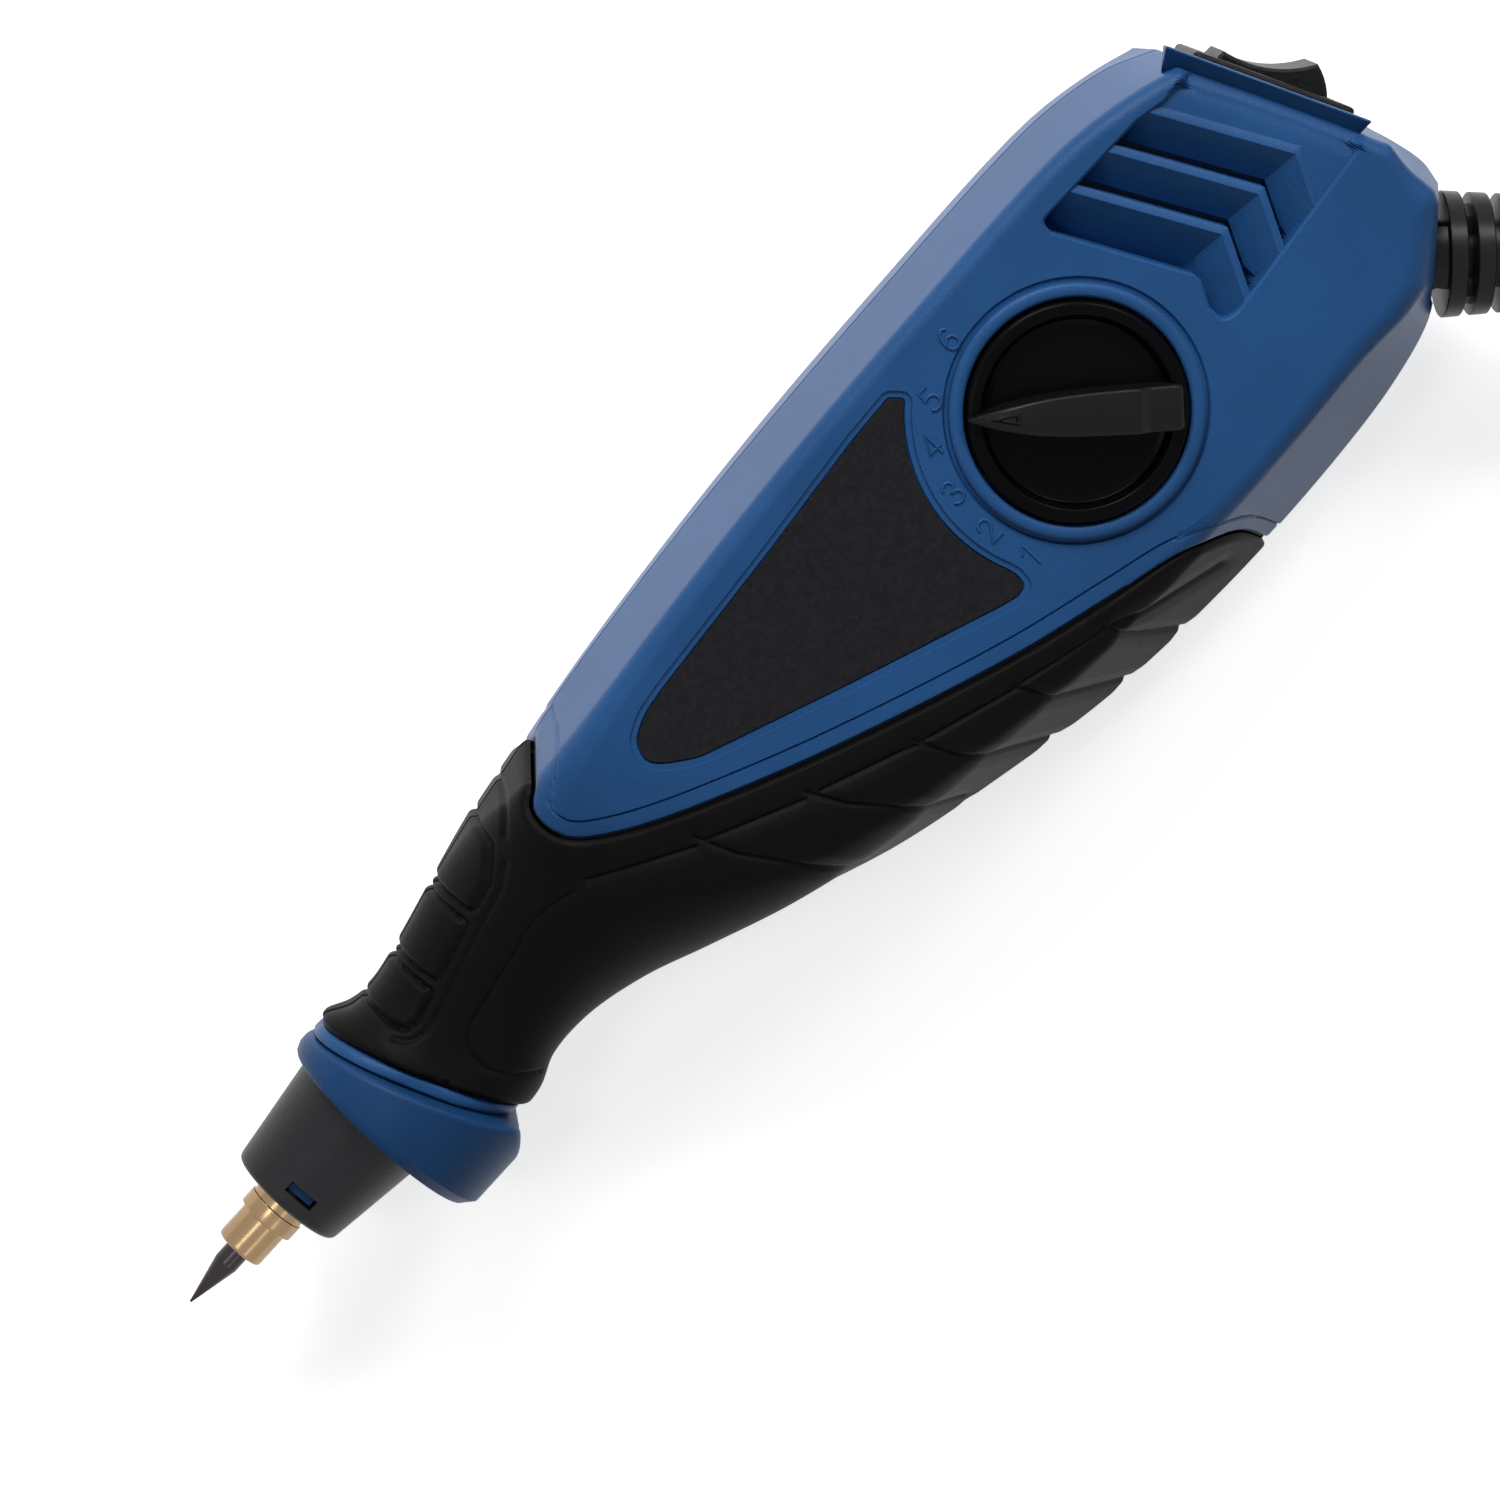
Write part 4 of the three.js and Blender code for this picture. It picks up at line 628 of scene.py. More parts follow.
def put_on_rim(points, source, first, rim):
    """Puts the points that come from a part of the boundary onto that part's own places."""
    at = source - first
    on_rim = (at >= 0) & (at < len(rim))
    points[on_rim] = rim[at[on_rim]]


def skin(name, shape):
    """An object from the upper half's open skin, with its faces turned outward."""
    obj = solid(name, shape)
    crown = max(obj.data.polygons, key=lambda face: face.center.z)
    if crown.normal.z < 0:
        obj.data.flip_normals()
    return obj


def add_wall(obj, wall):
    """Gives an open skin its inner side and rims."""
    modifier = obj.modifiers.new("wall", "SOLIDIFY")
    modifier.thickness = wall * MM
    modifier.offset = -1
    bake(obj)


def mirror_at_parting(obj):
    """Turns an object of the upper half into one of the lower half."""
    obj.data.transform(Matrix.Translation(ORIGIN) @ Matrix.Scale(-1, 4, (0, 0, 1))
                       @ Matrix.Translation(-ORIGIN))
    obj.data.flip_normals()


# Blue halves

SHELL_STRAIGHT = (0, 0.012, 0.03, 0.06, 0.16, 0.28, 0.4, 0.52, 0.64, 0.76, 0.88)
SHELL_ARCS = 10
SHELL_WALL = 1.7
SEAM_ROUND = 0.4
EDGE_ROUND = 0.55
BAND_WIDTH = 1.9
BAND_DEPTH = 0.12
GROOVE_HALF = 0.17
GROOVE_DEPTH = 0.34

DIAL = np.array([0.754 * OVERALL, -0.053 * WIDTH])
RING_RADIUS = 14.4
RING_INNER = 12.8
RING_TOP = 1.0
RING_CROWN = 13.6
RING_CROWN_HALF = 0.8
RING_FALL = 0.35
WELL_DEPTH = 2.6
MOAT_WIDTH = 0.55
MOAT_DEPTH = 0.4
MOAT_EDGE = 0.12

LABEL_SHARES = [
    (0.692, 0.234), (0.686, 0.26), (0.655, 0.255), (0.572, 0.226), (0.474, 0.198), (0.455, 0.189),
    (0.44, 0.162), (0.436, 0.119), (0.442, 0.089), (0.458, 0.043), (0.551, -0.092),
    (0.642, -0.217), (0.652, -0.228), (0.659, -0.223), (0.66, -0.194),
]
LABEL_ARC = 19.4
LABEL_CORNER = 0.8
LABEL_END = 9.0
LABEL_ARC_STEPS = 24
LEDGE_WIDTH = 0.9
LEDGE_DEPTH = 0.3
POCKET_DEPTH = 0.75

VENT_SHARES = [
    (0.821, 0.271), (0.82, 0.243), (0.858, -0.043), (0.858, -0.062), (0.85, -0.115),
    (0.85, -0.149), (0.853, -0.158), (0.859, -0.162), (1.01, -0.104), (0.955, 0.262),
    (0.9185, 0.2505), (0.899, 0.266),
]
VENT_CORNER = 0.7
RIDGE_LINE = in_mm([(0.907, 0.3075), (0.9532, -0.0283), (0.934, -0.16)])
ridge_ways = np.diff(RIDGE_LINE, axis=0)
RIDGE_SIDES = np.stack([ridge_ways[:, 1], -ridge_ways[:, 0]], axis=1)
RIDGE_SIDES /= np.linalg.norm(ridge_ways, axis=1)[:, None]
RIDGE_PITCH = 0.0312 * OVERALL
RIDGE_COUNT = 3
RIDGE_WIDTH = 0.95
RIDGE_DEPTH = 0.25
RIDGE_BEVEL = 0.9
RIDGE_DROP = 0.42
VENT_BEVEL = 0.35
SLOPE_END = 4.75
SLOPE_DEPTH = 3.5
SLOT_DEPTH = 6.0
FLOOR_DEPTH = 0.7
FLOOR_ROUND = 1.8
FLOOR_FALL = 0.35
MOUTH_RAMP = 0.6
MOUTH_LOW = HALF - 2.4
MOUTH_HIGH = HALF - 0.2
# Places along a level: their count between the ends, and the reach and count of close ones.
SHELL_PLACES = (420, 3.2, 22)
SEAM_FULL = 0.98
LOOP_ENDS = 30
# Distances of the lines along which the relief breaks, so that the triangles follow them.
EDGE_BREAKS = (0.12, 0.3, 0.6, BAND_WIDTH, BAND_WIDTH + GROOVE_HALF, BAND_WIDTH + GROOVE_HALF * 2,
               BAND_WIDTH + 0.8)
LABEL_BREAKS = (LEDGE_WIDTH + 0.05, LEDGE_WIDTH - 0.05, GAP + 0.05, GAP - 0.05)
RING_BREAKS = (RING_INNER - 0.03, RING_INNER + 0.03, 12.95, 13.15, RING_CROWN, 14.05, 14.25,
               RING_RADIUS - 0.03, RING_RADIUS + 0.06, RING_RADIUS + MOAT_WIDTH - 0.14,
               RING_RADIUS + MOAT_WIDTH + 0.14)
VENT_BREAKS = (-VENT_BEVEL, -0.04, 0.04)
RIDGE_BREAKS = (-0.04, 0.04, RIDGE_BEVEL, RIDGE_WIDTH)
SLOT_BREAKS = (SLOPE_END - 0.05, SLOPE_END + 0.05)
VENT_LINE_GAP = 0.45


def step_down(distance, half=0.05):
    """Nought on the near side of a line and one on its far side."""
    return np.clip(0.5 + distance / (2 * half), 0, 1)


def edge_relief(distance):
    """Rounded rim, narrow band and groove of the blue plastic beside the rubber."""
    d = np.clip(distance, 0, None)
    band = BAND_DEPTH * (1 - smoothstep(BAND_WIDTH, BAND_WIDTH + GROOVE_HALF * 2, d))
    groove = np.clip(1 - np.abs(d - BAND_WIDTH - GROOVE_HALF) / GROOVE_HALF, 0, 1)
    return -(rim_fall(d, EDGE_ROUND) + band + GROOVE_DEPTH * groove)


def label_line():
    """The label's outline, whose rear end follows the dial."""
    points = in_mm(LABEL_SHARES)
    last, first = (math.atan2(*(points[k] - DIAL)[::-1]) for k in (-1, 0))
    if last < 0:
        last += math.tau
    arc = [DIAL + LABEL_ARC * np.array((math.cos(a), math.sin(a)))
           for a in np.linspace(last, first, LABEL_ARC_STEPS)]
    radii = [LABEL_CORNER] * len(points) + [0] * (len(arc) - 2)
    radii[3:10] = [LABEL_END] * 7
    return closed_rounded(np.vstack([points, arc[1:-1]]), radii, 5)


label_outline = label_line()
vent_outline = closed_rounded(in_mm(VENT_SHARES), VENT_CORNER, 3)


def ridge_reach(x, y, i):
    """Distance in front of one of the vent's ridges."""
    q = np.stack([x + RIDGE_PITCH * i, y], axis=-1) - RIDGE_LINE[1]
    return np.minimum(q @ RIDGE_SIDES[0], q @ RIDGE_SIDES[1])


def vent_relief(x, y, rear):
    """Depth of the vent's floor, fins and slots; rear is the distance from the rear rim."""
    out = -FLOOR_DEPTH - FLOOR_FALL * np.clip(1 - rear / FLOOR_ROUND, 0, 1) ** 2
    for i in range(RIDGE_COUNT):
        s = ridge_reach(x, y, i)
        foremost = i == RIDGE_COUNT - 1
        slope = np.clip((s - RIDGE_WIDTH) / (SLOPE_END - RIDGE_WIDTH), 0, 2 if foremost else 1)
        ridge = -RIDGE_DEPTH - (SLOPE_DEPTH - RIDGE_DEPTH) * slope
        ridge -= RIDGE_DROP * np.clip(1 - s / RIDGE_BEVEL, 0, 1)
        slot = 0 if foremost else step_down(s - SLOPE_END) * (SLOT_DEPTH - SLOPE_DEPTH)
        out = np.where(s > 0, ridge - slot, out)
    return out


def dial_face_relief(out, x, y, rear):
    """Adds label recess, dial ring and vent to the relief of the flat side face."""
    label = outline_distance(label_outline, x, y)
    out = out - LEDGE_DEPTH * step_down(label + LEDGE_WIDTH)
    out = out - (POCKET_DEPTH - LEDGE_DEPTH) * step_down(label + GAP)
    radius = np.hypot(x - DIAL[0], y - DIAL[1])
    out = out - MOAT_DEPTH * step_down(radius - RING_RADIUS) * step_down(
        RING_RADIUS + MOAT_WIDTH - radius, MOAT_EDGE)
    off_crown = np.clip(np.abs(radius - RING_CROWN) / RING_CROWN_HALF, 0, 1)
    out = np.where(radius < RING_RADIUS, RING_TOP - RING_FALL * off_crown ** 3, out)
    out = np.where(radius < RING_INNER, -WELL_DEPTH, out)
    vent = outline_distance(vent_outline, x, y)
    out = out - VENT_BEVEL * np.clip(1 + vent / VENT_BEVEL, 0, 1)
    ramp = 1 - np.clip(1 - rear / MOUTH_RAMP, 0, 1) * (1 - np.clip(vent / MOUTH_RAMP, 0, 1))
    return np.where(vent > 0, vent_relief(x, y, rear) * ramp, out)


def circle_line(radius):
    angles = np.linspace(0, math.tau, 161)
    return np.stack([DIAL[0] + radius * np.cos(angles), DIAL[1] + radius * np.sin(angles)], axis=1)


def looped(outline, distance):
    ring = inset(outline, distance)
    return np.vstack([ring, ring[:1]])


def fine(line, spacing):
    """A polyline with points no further apart than the spacing."""
    out = [line[0]]
    for a, b in zip(line[:-1], line[1:]):
        count = max(1, int(np.linalg.norm(b - a) / spacing))
        out += [a + (b - a) * k / count for k in range(1, count + 1)]
    return np.array(out)


def ridge_line(i, s):
    """A line in front of one of the vent's ridges, with its bend mitred."""
    mitre = RIDGE_SIDES[0] + RIDGE_SIDES[1]
    mitre /= mitre @ RIDGE_SIDES[0]
    offsets = np.array([RIDGE_SIDES[0], mitre, RIDGE_SIDES[1]]) * s
    return RIDGE_LINE + offsets - (RIDGE_PITCH * i, 0)


def edge_lines():
    """Lines in plan along which the relief beside the rubber's edge breaks."""
    return [offset_line(edge_line, GAP + d) for d in EDGE_BREAKS]


def dial_face_lines():
    """Lines in plan along which the dial face's relief breaks."""
    lines = edge_lines()
    lines += [looped(label_outline, -d) for d in LABEL_BREAKS]
    lines += [circle_line(r) for r in RING_BREAKS]
    lines += [fine(looped(vent_outline, d), 0.3) for d in VENT_BREAKS]
    in_vent = []
    for i in range(RIDGE_COUNT):
        slotted = i < RIDGE_COUNT - 1
        in_vent += [ridge_line(i, s) for s in RIDGE_BREAKS + (SLOT_BREAKS if slotted else ())]
        in_vent.append(np.array([ridge_line(i, s)[1] for s in (0.3, SLOPE_END - 0.3)]))
    in_vent += [ridge_line(0, -VENT_LINE_GAP * k) for k in range(1, 9)]
    for line in in_vent:
        lines += clipped(line, vent_outline, 0.06)
    return lines


def clipped(line, outline, margin):
    """The parts of a line that lie in an outline, with close points."""
    dense = fine(line, 0.35)
    reach = outline_distance(outline, dense[:, 0], dense[:, 1]) - margin
    runs, run = [], []
    for k, point in enumerate(dense):
        if k and (reach[k] > 0) != (reach[k - 1] > 0):
            share = reach[k - 1] / (reach[k - 1] - reach[k])
            run.append(dense[k - 1] + (point - dense[k - 1]) * share)
        if reach[k] > 0:
            run.append(point)
        elif run:
            runs.append(run)
            run = []
    if run:
        runs.append(run)
    return [np.array(run) for run in runs if len(run) > 1]


def unfolded(grid):
    """Levels whose small loops at the tight corners are pulled straight."""
    out = grid.copy()
    for level in out:
        for _ in range(3):
            step = np.diff(level[:, :2], axis=0)
            far = np.array([level[min(k + 4, len(level) - 1), :2] - level[max(k - 3, 0), :2]
                            for k in range(len(step))])
            turned_back = np.flatnonzero((step * far).sum(axis=1) < 0)
            turned_back = turned_back[(turned_back > LOOP_ENDS) & (turned_back < len(level) - LOOP_ENDS)]
            if not len(turned_back):
                break
            for run in np.split(turned_back, np.flatnonzero(np.diff(turned_back) > 3) + 1):
                first = run[0] - len(run) - 1
                last = run[-1] + len(run) + 2
                share = np.linspace(0, 1, last - first + 1)[:, None]
                level[first:last + 1] = level[first] + (level[last] - level[first]) * share
    return out


def vent_mouth(grid):
    """Depth of the rounded rear edge where the vent's floor runs out over it."""
    wide = np.clip(outline_distance(vent_outline, grid[:, :, 0], grid[:, :, 1]) / MOUTH_RAMP, 0, 1)
    return (FLOOR_DEPTH + FLOOR_FALL) * wide * smoothstep(MOUTH_LOW, MOUTH_HIGH, grid[:, :, 2])


def shell_skin(form, dial_side, lines, spacing):
    """The upper half's blue skin, with or without the dial side's relief on its side face."""
    back, belly = form.edge_spans
    grid = unfolded(form.run((form.edge, GAP, back), (form.edge, GAP, belly), *SHELL_PLACES))
    depth = edge_relief(edge_distance(grid[:, :, 0], grid[:, :, 1]) - GAP)
    depth = depth - rim_fall(grid[:, :, 2] - GAP, SEAM_ROUND, SEAM_FULL)
    placed = grid + grid_normals(grid) * depth[:, :, None]
    if dial_side:
        placed[:, :, 2] -= vent_mouth(grid)
    rim = grid[-1, :, :2]
    cut_line = between(offset_line(edge_line, GAP), rim[0], rim[-1])
    boundary = np.vstack([rim, cut_line[::-1]])
    plan, faces, source = filled(boundary, lines, spacing, bare=vent_outline)
    x, y = plan[:, 0], plan[:, 1]
    relief = edge_relief(edge_distance(x, y) - GAP)
    if dial_side:
        relief = dial_face_relief(relief, x, y, near_line(rim, plan))
    points = np.column_stack([plan, thickness(x) + relief])
    put_on_rim(points, source, 0, placed[-1])
    return joined([grid_shape(placed), (points, faces)])


# Rubber grips

GRIP_STRAIGHT = tuple(np.concatenate([[0, 0.03, 0.07], np.linspace(0.12, 0.96, 20)]))
GRIP_ARCS = 56
GRIP_PROUD = 0.4
GRIP_WALL = 1.5
PLATE_LINES = [
    [(69.2, 1.7), (80.3, -4.5)], [(81.7, -4.8), (92.5, -9.9)], [(94.4, -10.5), (105.2, -14.9)],
    [(106.4, -15.4), (117.5, -19.2)], [(118.2, -19.2), (128.9, -22.3)], [(130.0, -22.6), (143.7, -29.1)],
]
CHEVRONS = [
    [(93.2, -9.3), (95.3, -13.9), (98.7, -18.7)], [(105.6, -14.4), (107.5, -19.7), (111.5, -24.5)],
    [(117.6, -18.8), (119.3, -22.9), (122.6, -26.8)], [(129.1, -21.8), (131.2, -26.2), (134.6, -31.5)],
    [(81.0, -3.6), (82.8, -8.6), (85.8, -13.6)],
]
NECK_PANELS = [
    [(65.2, 20), (56.4, 20), (56.2, 12), (57.1, 7.7), (61.1, 8.8), (64.6, 11.4)],
    [(55.3, 20), (47.6, 20), (47.4, 10), (48.2, 5.3), (55.9, 7.3), (55.0, 12)],
    [(46.5, 20), (40.7, 20), (40.7, 9), (41.1, 5.6), (41.8, 4.2), (43.4, 3.9), (47.2, 5.0), (46.4, 10)],
]
NECK_LINES = [
    [(64.3, 9.2), (61.5, 7.5), (52.3, 4.9), (45.9, 3.0), (43.2, 2.5), (41.1, 3.1), (40.1, 4.7)],
    [(67.1, 1.9), (63.5, 2.6), (60.2, 2.4), (57.0, 1.5), (46.6, -0.8), (44.8, -2.5), (44.5, -5.4),
     (45.7, -8.1), (47.8, -10.7)],
    [(70.2, 20), (69.8, 14), (66.4, 11.2)],
]
PLATE_DEPTH = 0.4
PLATE_RISE = 0.24
CHEVRON_REACH = 9.0
PANEL_DEPTH = 0.45
NECK_DEPTH = 0.32
GROOVE_SPREAD = 0.3
GRIP_RIM = 0.7
GRIP_SEAM = 0.5
GRIP_SEAM_SHARE = 0.9
BELLY_REACH = 2.5
NECK_REACH = 75
GRIP_BACK_PLACES = (170, 1.2, 7)
GRIP_BELLY_PLACES = (480, 1.2, 7)
LINER_DEPTH = 1.05
LINER_RADIUS = 0.42


def stretched(line, reach):
    """A polyline that goes on past its last point by a reach."""
    end, before = np.array(line[-1]), np.array(line[-2])
    return [*line, tuple(end + (end - before) / np.linalg.norm(end - before) * reach)]


def groove(away, depth):
    """Depth of a soft groove at a distance from its line."""
    return depth * np.exp(-(away / GROOVE_SPREAD) ** 2)


def grip_relief(points):
    """Height of the rubber above the plain form, from its stepped plates, panels and rims."""
    x, y, z = points[:, 0], points[:, 1], points[:, 2]
    out = GRIP_PROUD * (1 - smoothstep(HALF - 2.2, HALF - 0.5, z))
    out -= rim_fall(np.minimum(-edge_distance(x, y) - GAP, front_distance(x, y)), GRIP_RIM)
    out -= rim_fall(z - GAP, GRIP_SEAM) * GRIP_SEAM_SHARE
    belly = y < BELLY_REACH
    lines = PLATE_LINES + [stretched(line, CHEVRON_REACH) for line in CHEVRONS]
    nearest = np.min([near_line(line, points[belly]) for line in lines], axis=0)
    out[belly] -= groove(nearest, PLATE_DEPTH) + PLATE_RISE * (1 - smoothstep(0.2, 1.9, nearest))
    neck = x < NECK_REACH
    for panel in NECK_PANELS:
        away = outline_distance(closed_rounded(panel, 0.8), x[neck], y[neck])
        out[neck] += PLATE_RISE * smoothstep(0.1, 0.9, away) - groove(away, PANEL_DEPTH)
    for line in NECK_LINES:
        out[neck] -= groove(near_line(rounded(line, 2.5, 6), points[neck]), NECK_DEPTH)
    return out


def grip_skin(form):
    """The upper half's rubber, before its relief."""
    back_edge, belly_edge = ((form.edge, -GAP, span) for span in form.edge_spans)
    back_front, belly_front = ((form.front, 0.0, span) for span in form.front_spans)
    back = form.run(back_front, back_edge, *GRIP_BACK_PLACES)
    belly = form.run(belly_edge, belly_front, *GRIP_BELLY_PLACES)
    cut_line = between(offset_line(edge_line, -GAP), back[-1, -1], belly[-1, 0])
    boundary = np.vstack([back[-1, :, :2], cut_line, belly[-1, :, :2]])
    lines = [offset_line(edge_line, -GAP - d) for d in (0.1, 0.25, 0.5, 0.75)]
    for line in PLATE_LINES + CHEVRONS + NECK_LINES:
        lines += [fine(offset_line(fine(np.array(line), 1.0), s), 0.4) for s in (-0.4, 0.0, 0.4)]
    plan, faces, source = filled(boundary, lines, 0.5, 0.2, clear=0.3)
    points = np.column_stack([plan, thickness(plan[:, 0])])
    put_on_rim(points, source, 0, back[-1])
    put_on_rim(points, source, back.shape[1] + len(cut_line), belly[-1])
    return joined([grid_shape(back), grid_shape(belly), (points, faces)])


def seam_liner(form):
    """Places in the pen's own frame, below the seam between the blue plastic and the rubber."""
    sides = []
    for span in form.edge_spans:
        columns = [form.crossed(form.edge, target, span, every=4) for target in (-0.5, 0.0, 0.5)]
        grid = np.array(columns).transpose(1, 0, 2)
        sides.append(grid[:, 1] - grid_normals(grid)[:, 1] * LINER_DEPTH)
    back, belly = sides
    flat = between(edge_line, back[-1], belly[-1])
    height = thickness(flat[:, 0]) - LINER_DEPTH
    return np.vstack([back, np.column_stack([flat, height])[1:-1], belly[::-1]])


def raise_by_relief(obj, relief):
    """Moves a mesh's points along its normals by a relief in the pen's own frame."""
    mesh = obj.data
    place, normal = np.empty(len(mesh.vertices) * 3), np.empty(len(mesh.vertices) * 3)
    mesh.vertices.foreach_get("co", place)
    mesh.vertex_normals.foreach_get("vector", normal)
    height = relief((place.reshape(-1, 3) - np.array(ORIGIN)) / MM)
    place += normal * np.repeat(height * MM, 3)
    mesh.vertices.foreach_set("co", place)
    mesh.update()


# Materials

def linear(red, green, blue):
    """A display colour of 0 to 255 as linear light."""
    out = []
    for value in (red, green, blue):
        c = value / 255
        out.append(c / 12.92 if c <= 0.04045 else ((c + 0.055) / 1.055) ** 2.4)
    return tuple(out)


def noise(tree, scale, detail):
    """The output of a noise in the object's own space."""
    where = tree.nodes.new("ShaderNodeTexCoord")
    node = tree.nodes.new("ShaderNodeTexNoise")
    node.inputs["Scale"].default_value = scale
    node.inputs["Detail"].default_value = detail
    tree.links.new(where.outputs["Object"], node.inputs["Vector"])
    return node.outputs["Fac"]


def mapped(tree, value, low, high):
    """The output of a node that maps 0 to 1 onto a range."""
    node = tree.nodes.new("ShaderNodeMapRange")
    node.inputs["To Min"].default_value = low
    node.inputs["To Max"].default_value = high
    tree.links.new(value, node.inputs["Value"])
    return node.outputs["Result"]


def ray_sees(tree):
    """1 for a ray from the camera, off a glossy surface or through glass, and 0 for any other."""
    rays = tree.nodes.new("ShaderNodeLightPath").outputs
    sees = rays["Is Camera Ray"]
    for kind in ("Is Glossy Ray", "Is Transmission Ray"):
        either = tree.nodes.new("ShaderNodeMath")
        either.operation = "MAXIMUM"
        tree.links.new(sees, either.inputs[0])
        tree.links.new(rays[kind], either.inputs[1])
        sees = either.outputs["Value"]
    return sees


def material(name, color, roughness, metallic=0.0, shine=0.5, grain=2600, bump=0.15, height=0.04,
             broad=60, spread=0.08):
    """A surface whose colour and roughness vary finely and whose grain is a procedural bump."""
    mat = bpy.data.materials.new(name)
    mat.use_nodes = True
    tree = mat.node_tree
    shader = tree.nodes["Principled BSDF"].inputs
    shader["Metallic"].default_value = metallic
    shader["Specular IOR Level"].default_value = shine
    ramp = tree.nodes.new("ShaderNodeValToRGB")
    dark, light = ramp.color_ramp.elements
    dark.position = 0.35
    light.position = 0.65
    for end, factor in ((dark, 1 - spread), (light, 1 + spread)):
        end.color = (*(min(1.0, c * factor) for c in linear(*color)), 1)
    tree.links.new(noise(tree, broad, 4), ramp.inputs["Fac"])
    tree.links.new(ramp.outputs["Color"], shader["Base Color"])
    grains = noise(tree, grain, 3)
    rough = mapped(tree, grains, roughness * 0.88, min(1.0, roughness * 1.12))
    tree.links.new(rough, shader["Roughness"])
    relief = tree.nodes.new("ShaderNodeBump")
    relief.inputs["Strength"].default_value = bump
    relief.inputs["Distance"].default_value = height * MM
    tree.links.new(grains, relief.inputs["Height"])
    tree.links.new(relief.outputs["Normal"], shader["Normal"])
    return mat


BLUE = material("blue_plastic_grain", (33, 77, 127), 0.4, 0, 0.15, 4200, 1.0, 0.05)
# The finger guard's blue is a darker copy of the blue plastic: painted shade.
GUARD_BLUE_PAINTED_SHADE = material("guard_plastic_grain_painted_shade", (24, 62, 106), 0.42, 0, 0.12, 4200, 0.8, 0.05)
# The nose cone's black is a lighter copy of the black plastic: painted sheen.
NOSE_BLACK_PAINTED_SHEEN = material("nose_plastic_painted_sheen", (26, 26, 28), 0.42, 0, 0.25, 3400, 0.9, 0.05)
BLACK = material("black_plastic_grain", (12, 12, 13), 0.42, 0, 0.15, 1700, 0.9, 0.08)
KNOB_BLACK = material("knob_plastic", (4, 4, 5), 0.28, 0, 0.04, bump=0.2)
BAR_BLACK = material("bar_plastic", (13, 12, 12), 0.34, 0, 0.15, bump=0.4)
RUBBER = material("rubber_grain", (13, 11, 11), 0.5, 0, 0.05, 1800, 0.3, 0.05)
LABEL = material("label_film_grain", (25, 24, 27), 0.5, 0, 0.1, 3400, 0.9, 0.07, 1500, 0.3)
BRASS = material("brass_turned", (158, 130, 98), 0.24, 1.0, bump=0.01, spread=0.05)
CARBIDE = material("carbide_ground", (62, 56, 59), 0.22, 1.0, bump=0.01)
STEEL = material("steel_plated", (196, 198, 202), 0.3, 1.0)
LAMINATED = material("laminations_oiled", (96, 100, 105), 0.45, 0.9, grain=900)
BRONZE = material("bronze_sintered", (168, 122, 74), 0.45, 1.0)
NYLON = material("nylon_natural", (232, 228, 216), 0.5)
COPPER = material("enamelled_wire", (176, 92, 46), 0.32, 0.8, grain=1200, bump=0.6)
LIVE = material("live_sleeve_plastic", (107, 58, 34), 0.45)
NEUTRAL = material("neutral_sleeve_plastic", (43, 79, 156), 0.45)
CORD = material("cord_rubber", (13, 13, 14), 0.34, 0, 0.2, bump=0.2)

SLOT_MATERIALS = {
    "blue_plastic": BLUE, "black_plastic": BLACK, "rubber": RUBBER, "label_film": LABEL,
    "brass": BRASS, "carbide": CARBIDE, "steel": STEEL, "laminations": LAMINATED,
    "bronze": BRONZE, "nylon": NYLON, "enamelled_copper": COPPER, "live_sleeve": LIVE,
    "neutral_sleeve": NEUTRAL,
}
for part in frame["record"]["subparts"]:
    for place in frame["nodes"][part["node"]].material_slots:
        place.material = SLOT_MATERIALS[part["material_slot"]]


# Camera

CAMERA_AT = (0.04895, 0.12840, 0.73587)
IMAGE_RIGHT = Vector((0.6731, -0.7353, 0.0792))
IMAGE_UP = Vector((0.7359, 0.6551, -0.1714))
TOWARDS_CAMERA = Vector((0.0741, 0.1736, 0.9820))
FOCAL_SHARE = 6351 / 1500
SENSOR = 36.0
camera_data = bpy.data.cameras.new("camera")
camera_data.sensor_width = SENSOR
camera_data.lens = FOCAL_SHARE * SENSOR
camera_data.clip_start = 0.05
camera_data.clip_end = 20
camera = link("camera", camera_data)
basis = Matrix((IMAGE_RIGHT, IMAGE_UP, TOWARDS_CAMERA)).transposed().to_4x4()
camera.matrix_world = Matrix.Translation(CAMERA_AT) @ basis
bpy.context.scene.camera = camera


# Cord

# Places in plan are measured from the strain relief's end.
CORD_RADIUS = 3.0
RELIEF_END = (116.3588, -46.6686)
COIL_CENTRE = (58.866, 13.661)
COIL_RADIUS = 34.0
COIL_TURNS = 7.86
COIL_PITCH = 6.5
COIL_HEIGHT = 3.1
COIL_START = math.radians(241.447)
COIL_TURNBACK = 0.1
CLIMB_HALF_TURN = 0.25
CORD_STEPS_PER_TURN = 40
DROP_ROUTE = [
    (0.0, 0.0, 1), (4.11, -4.371, 1), (6.914, -7.223, 0.962), (10.577, -10.626, 0.827),
    (14.405, -13.842, 0.631), (18.389, -16.863, 0.412), (22.518, -19.68, 0.209),
    (26.784, -22.288, 0.059), (30.686, -24.427, 0),
]
PLUG_ROUTE = [
    (14.023, -1.511, 3.1), (14.651, -5.158, 3.23), (15.239, -8.566, 3.52), (15.806, -11.977, 3.95),
    (15.96, -15.428, 4.49), (15.546, -18.857, 5.1), (14.576, -22.173, 5.77),
    (13.075, -25.284, 6.44), (11.085, -28.107, 7.11), (8.659, -30.566, 7.73),
    (5.863, -32.594, 8.28), (2.772, -34.136, 8.73), (-0.53, -35.151, 9.04),
    (-3.954, -35.611, 9.19), (-7.953, -35.648, 9.2),
]


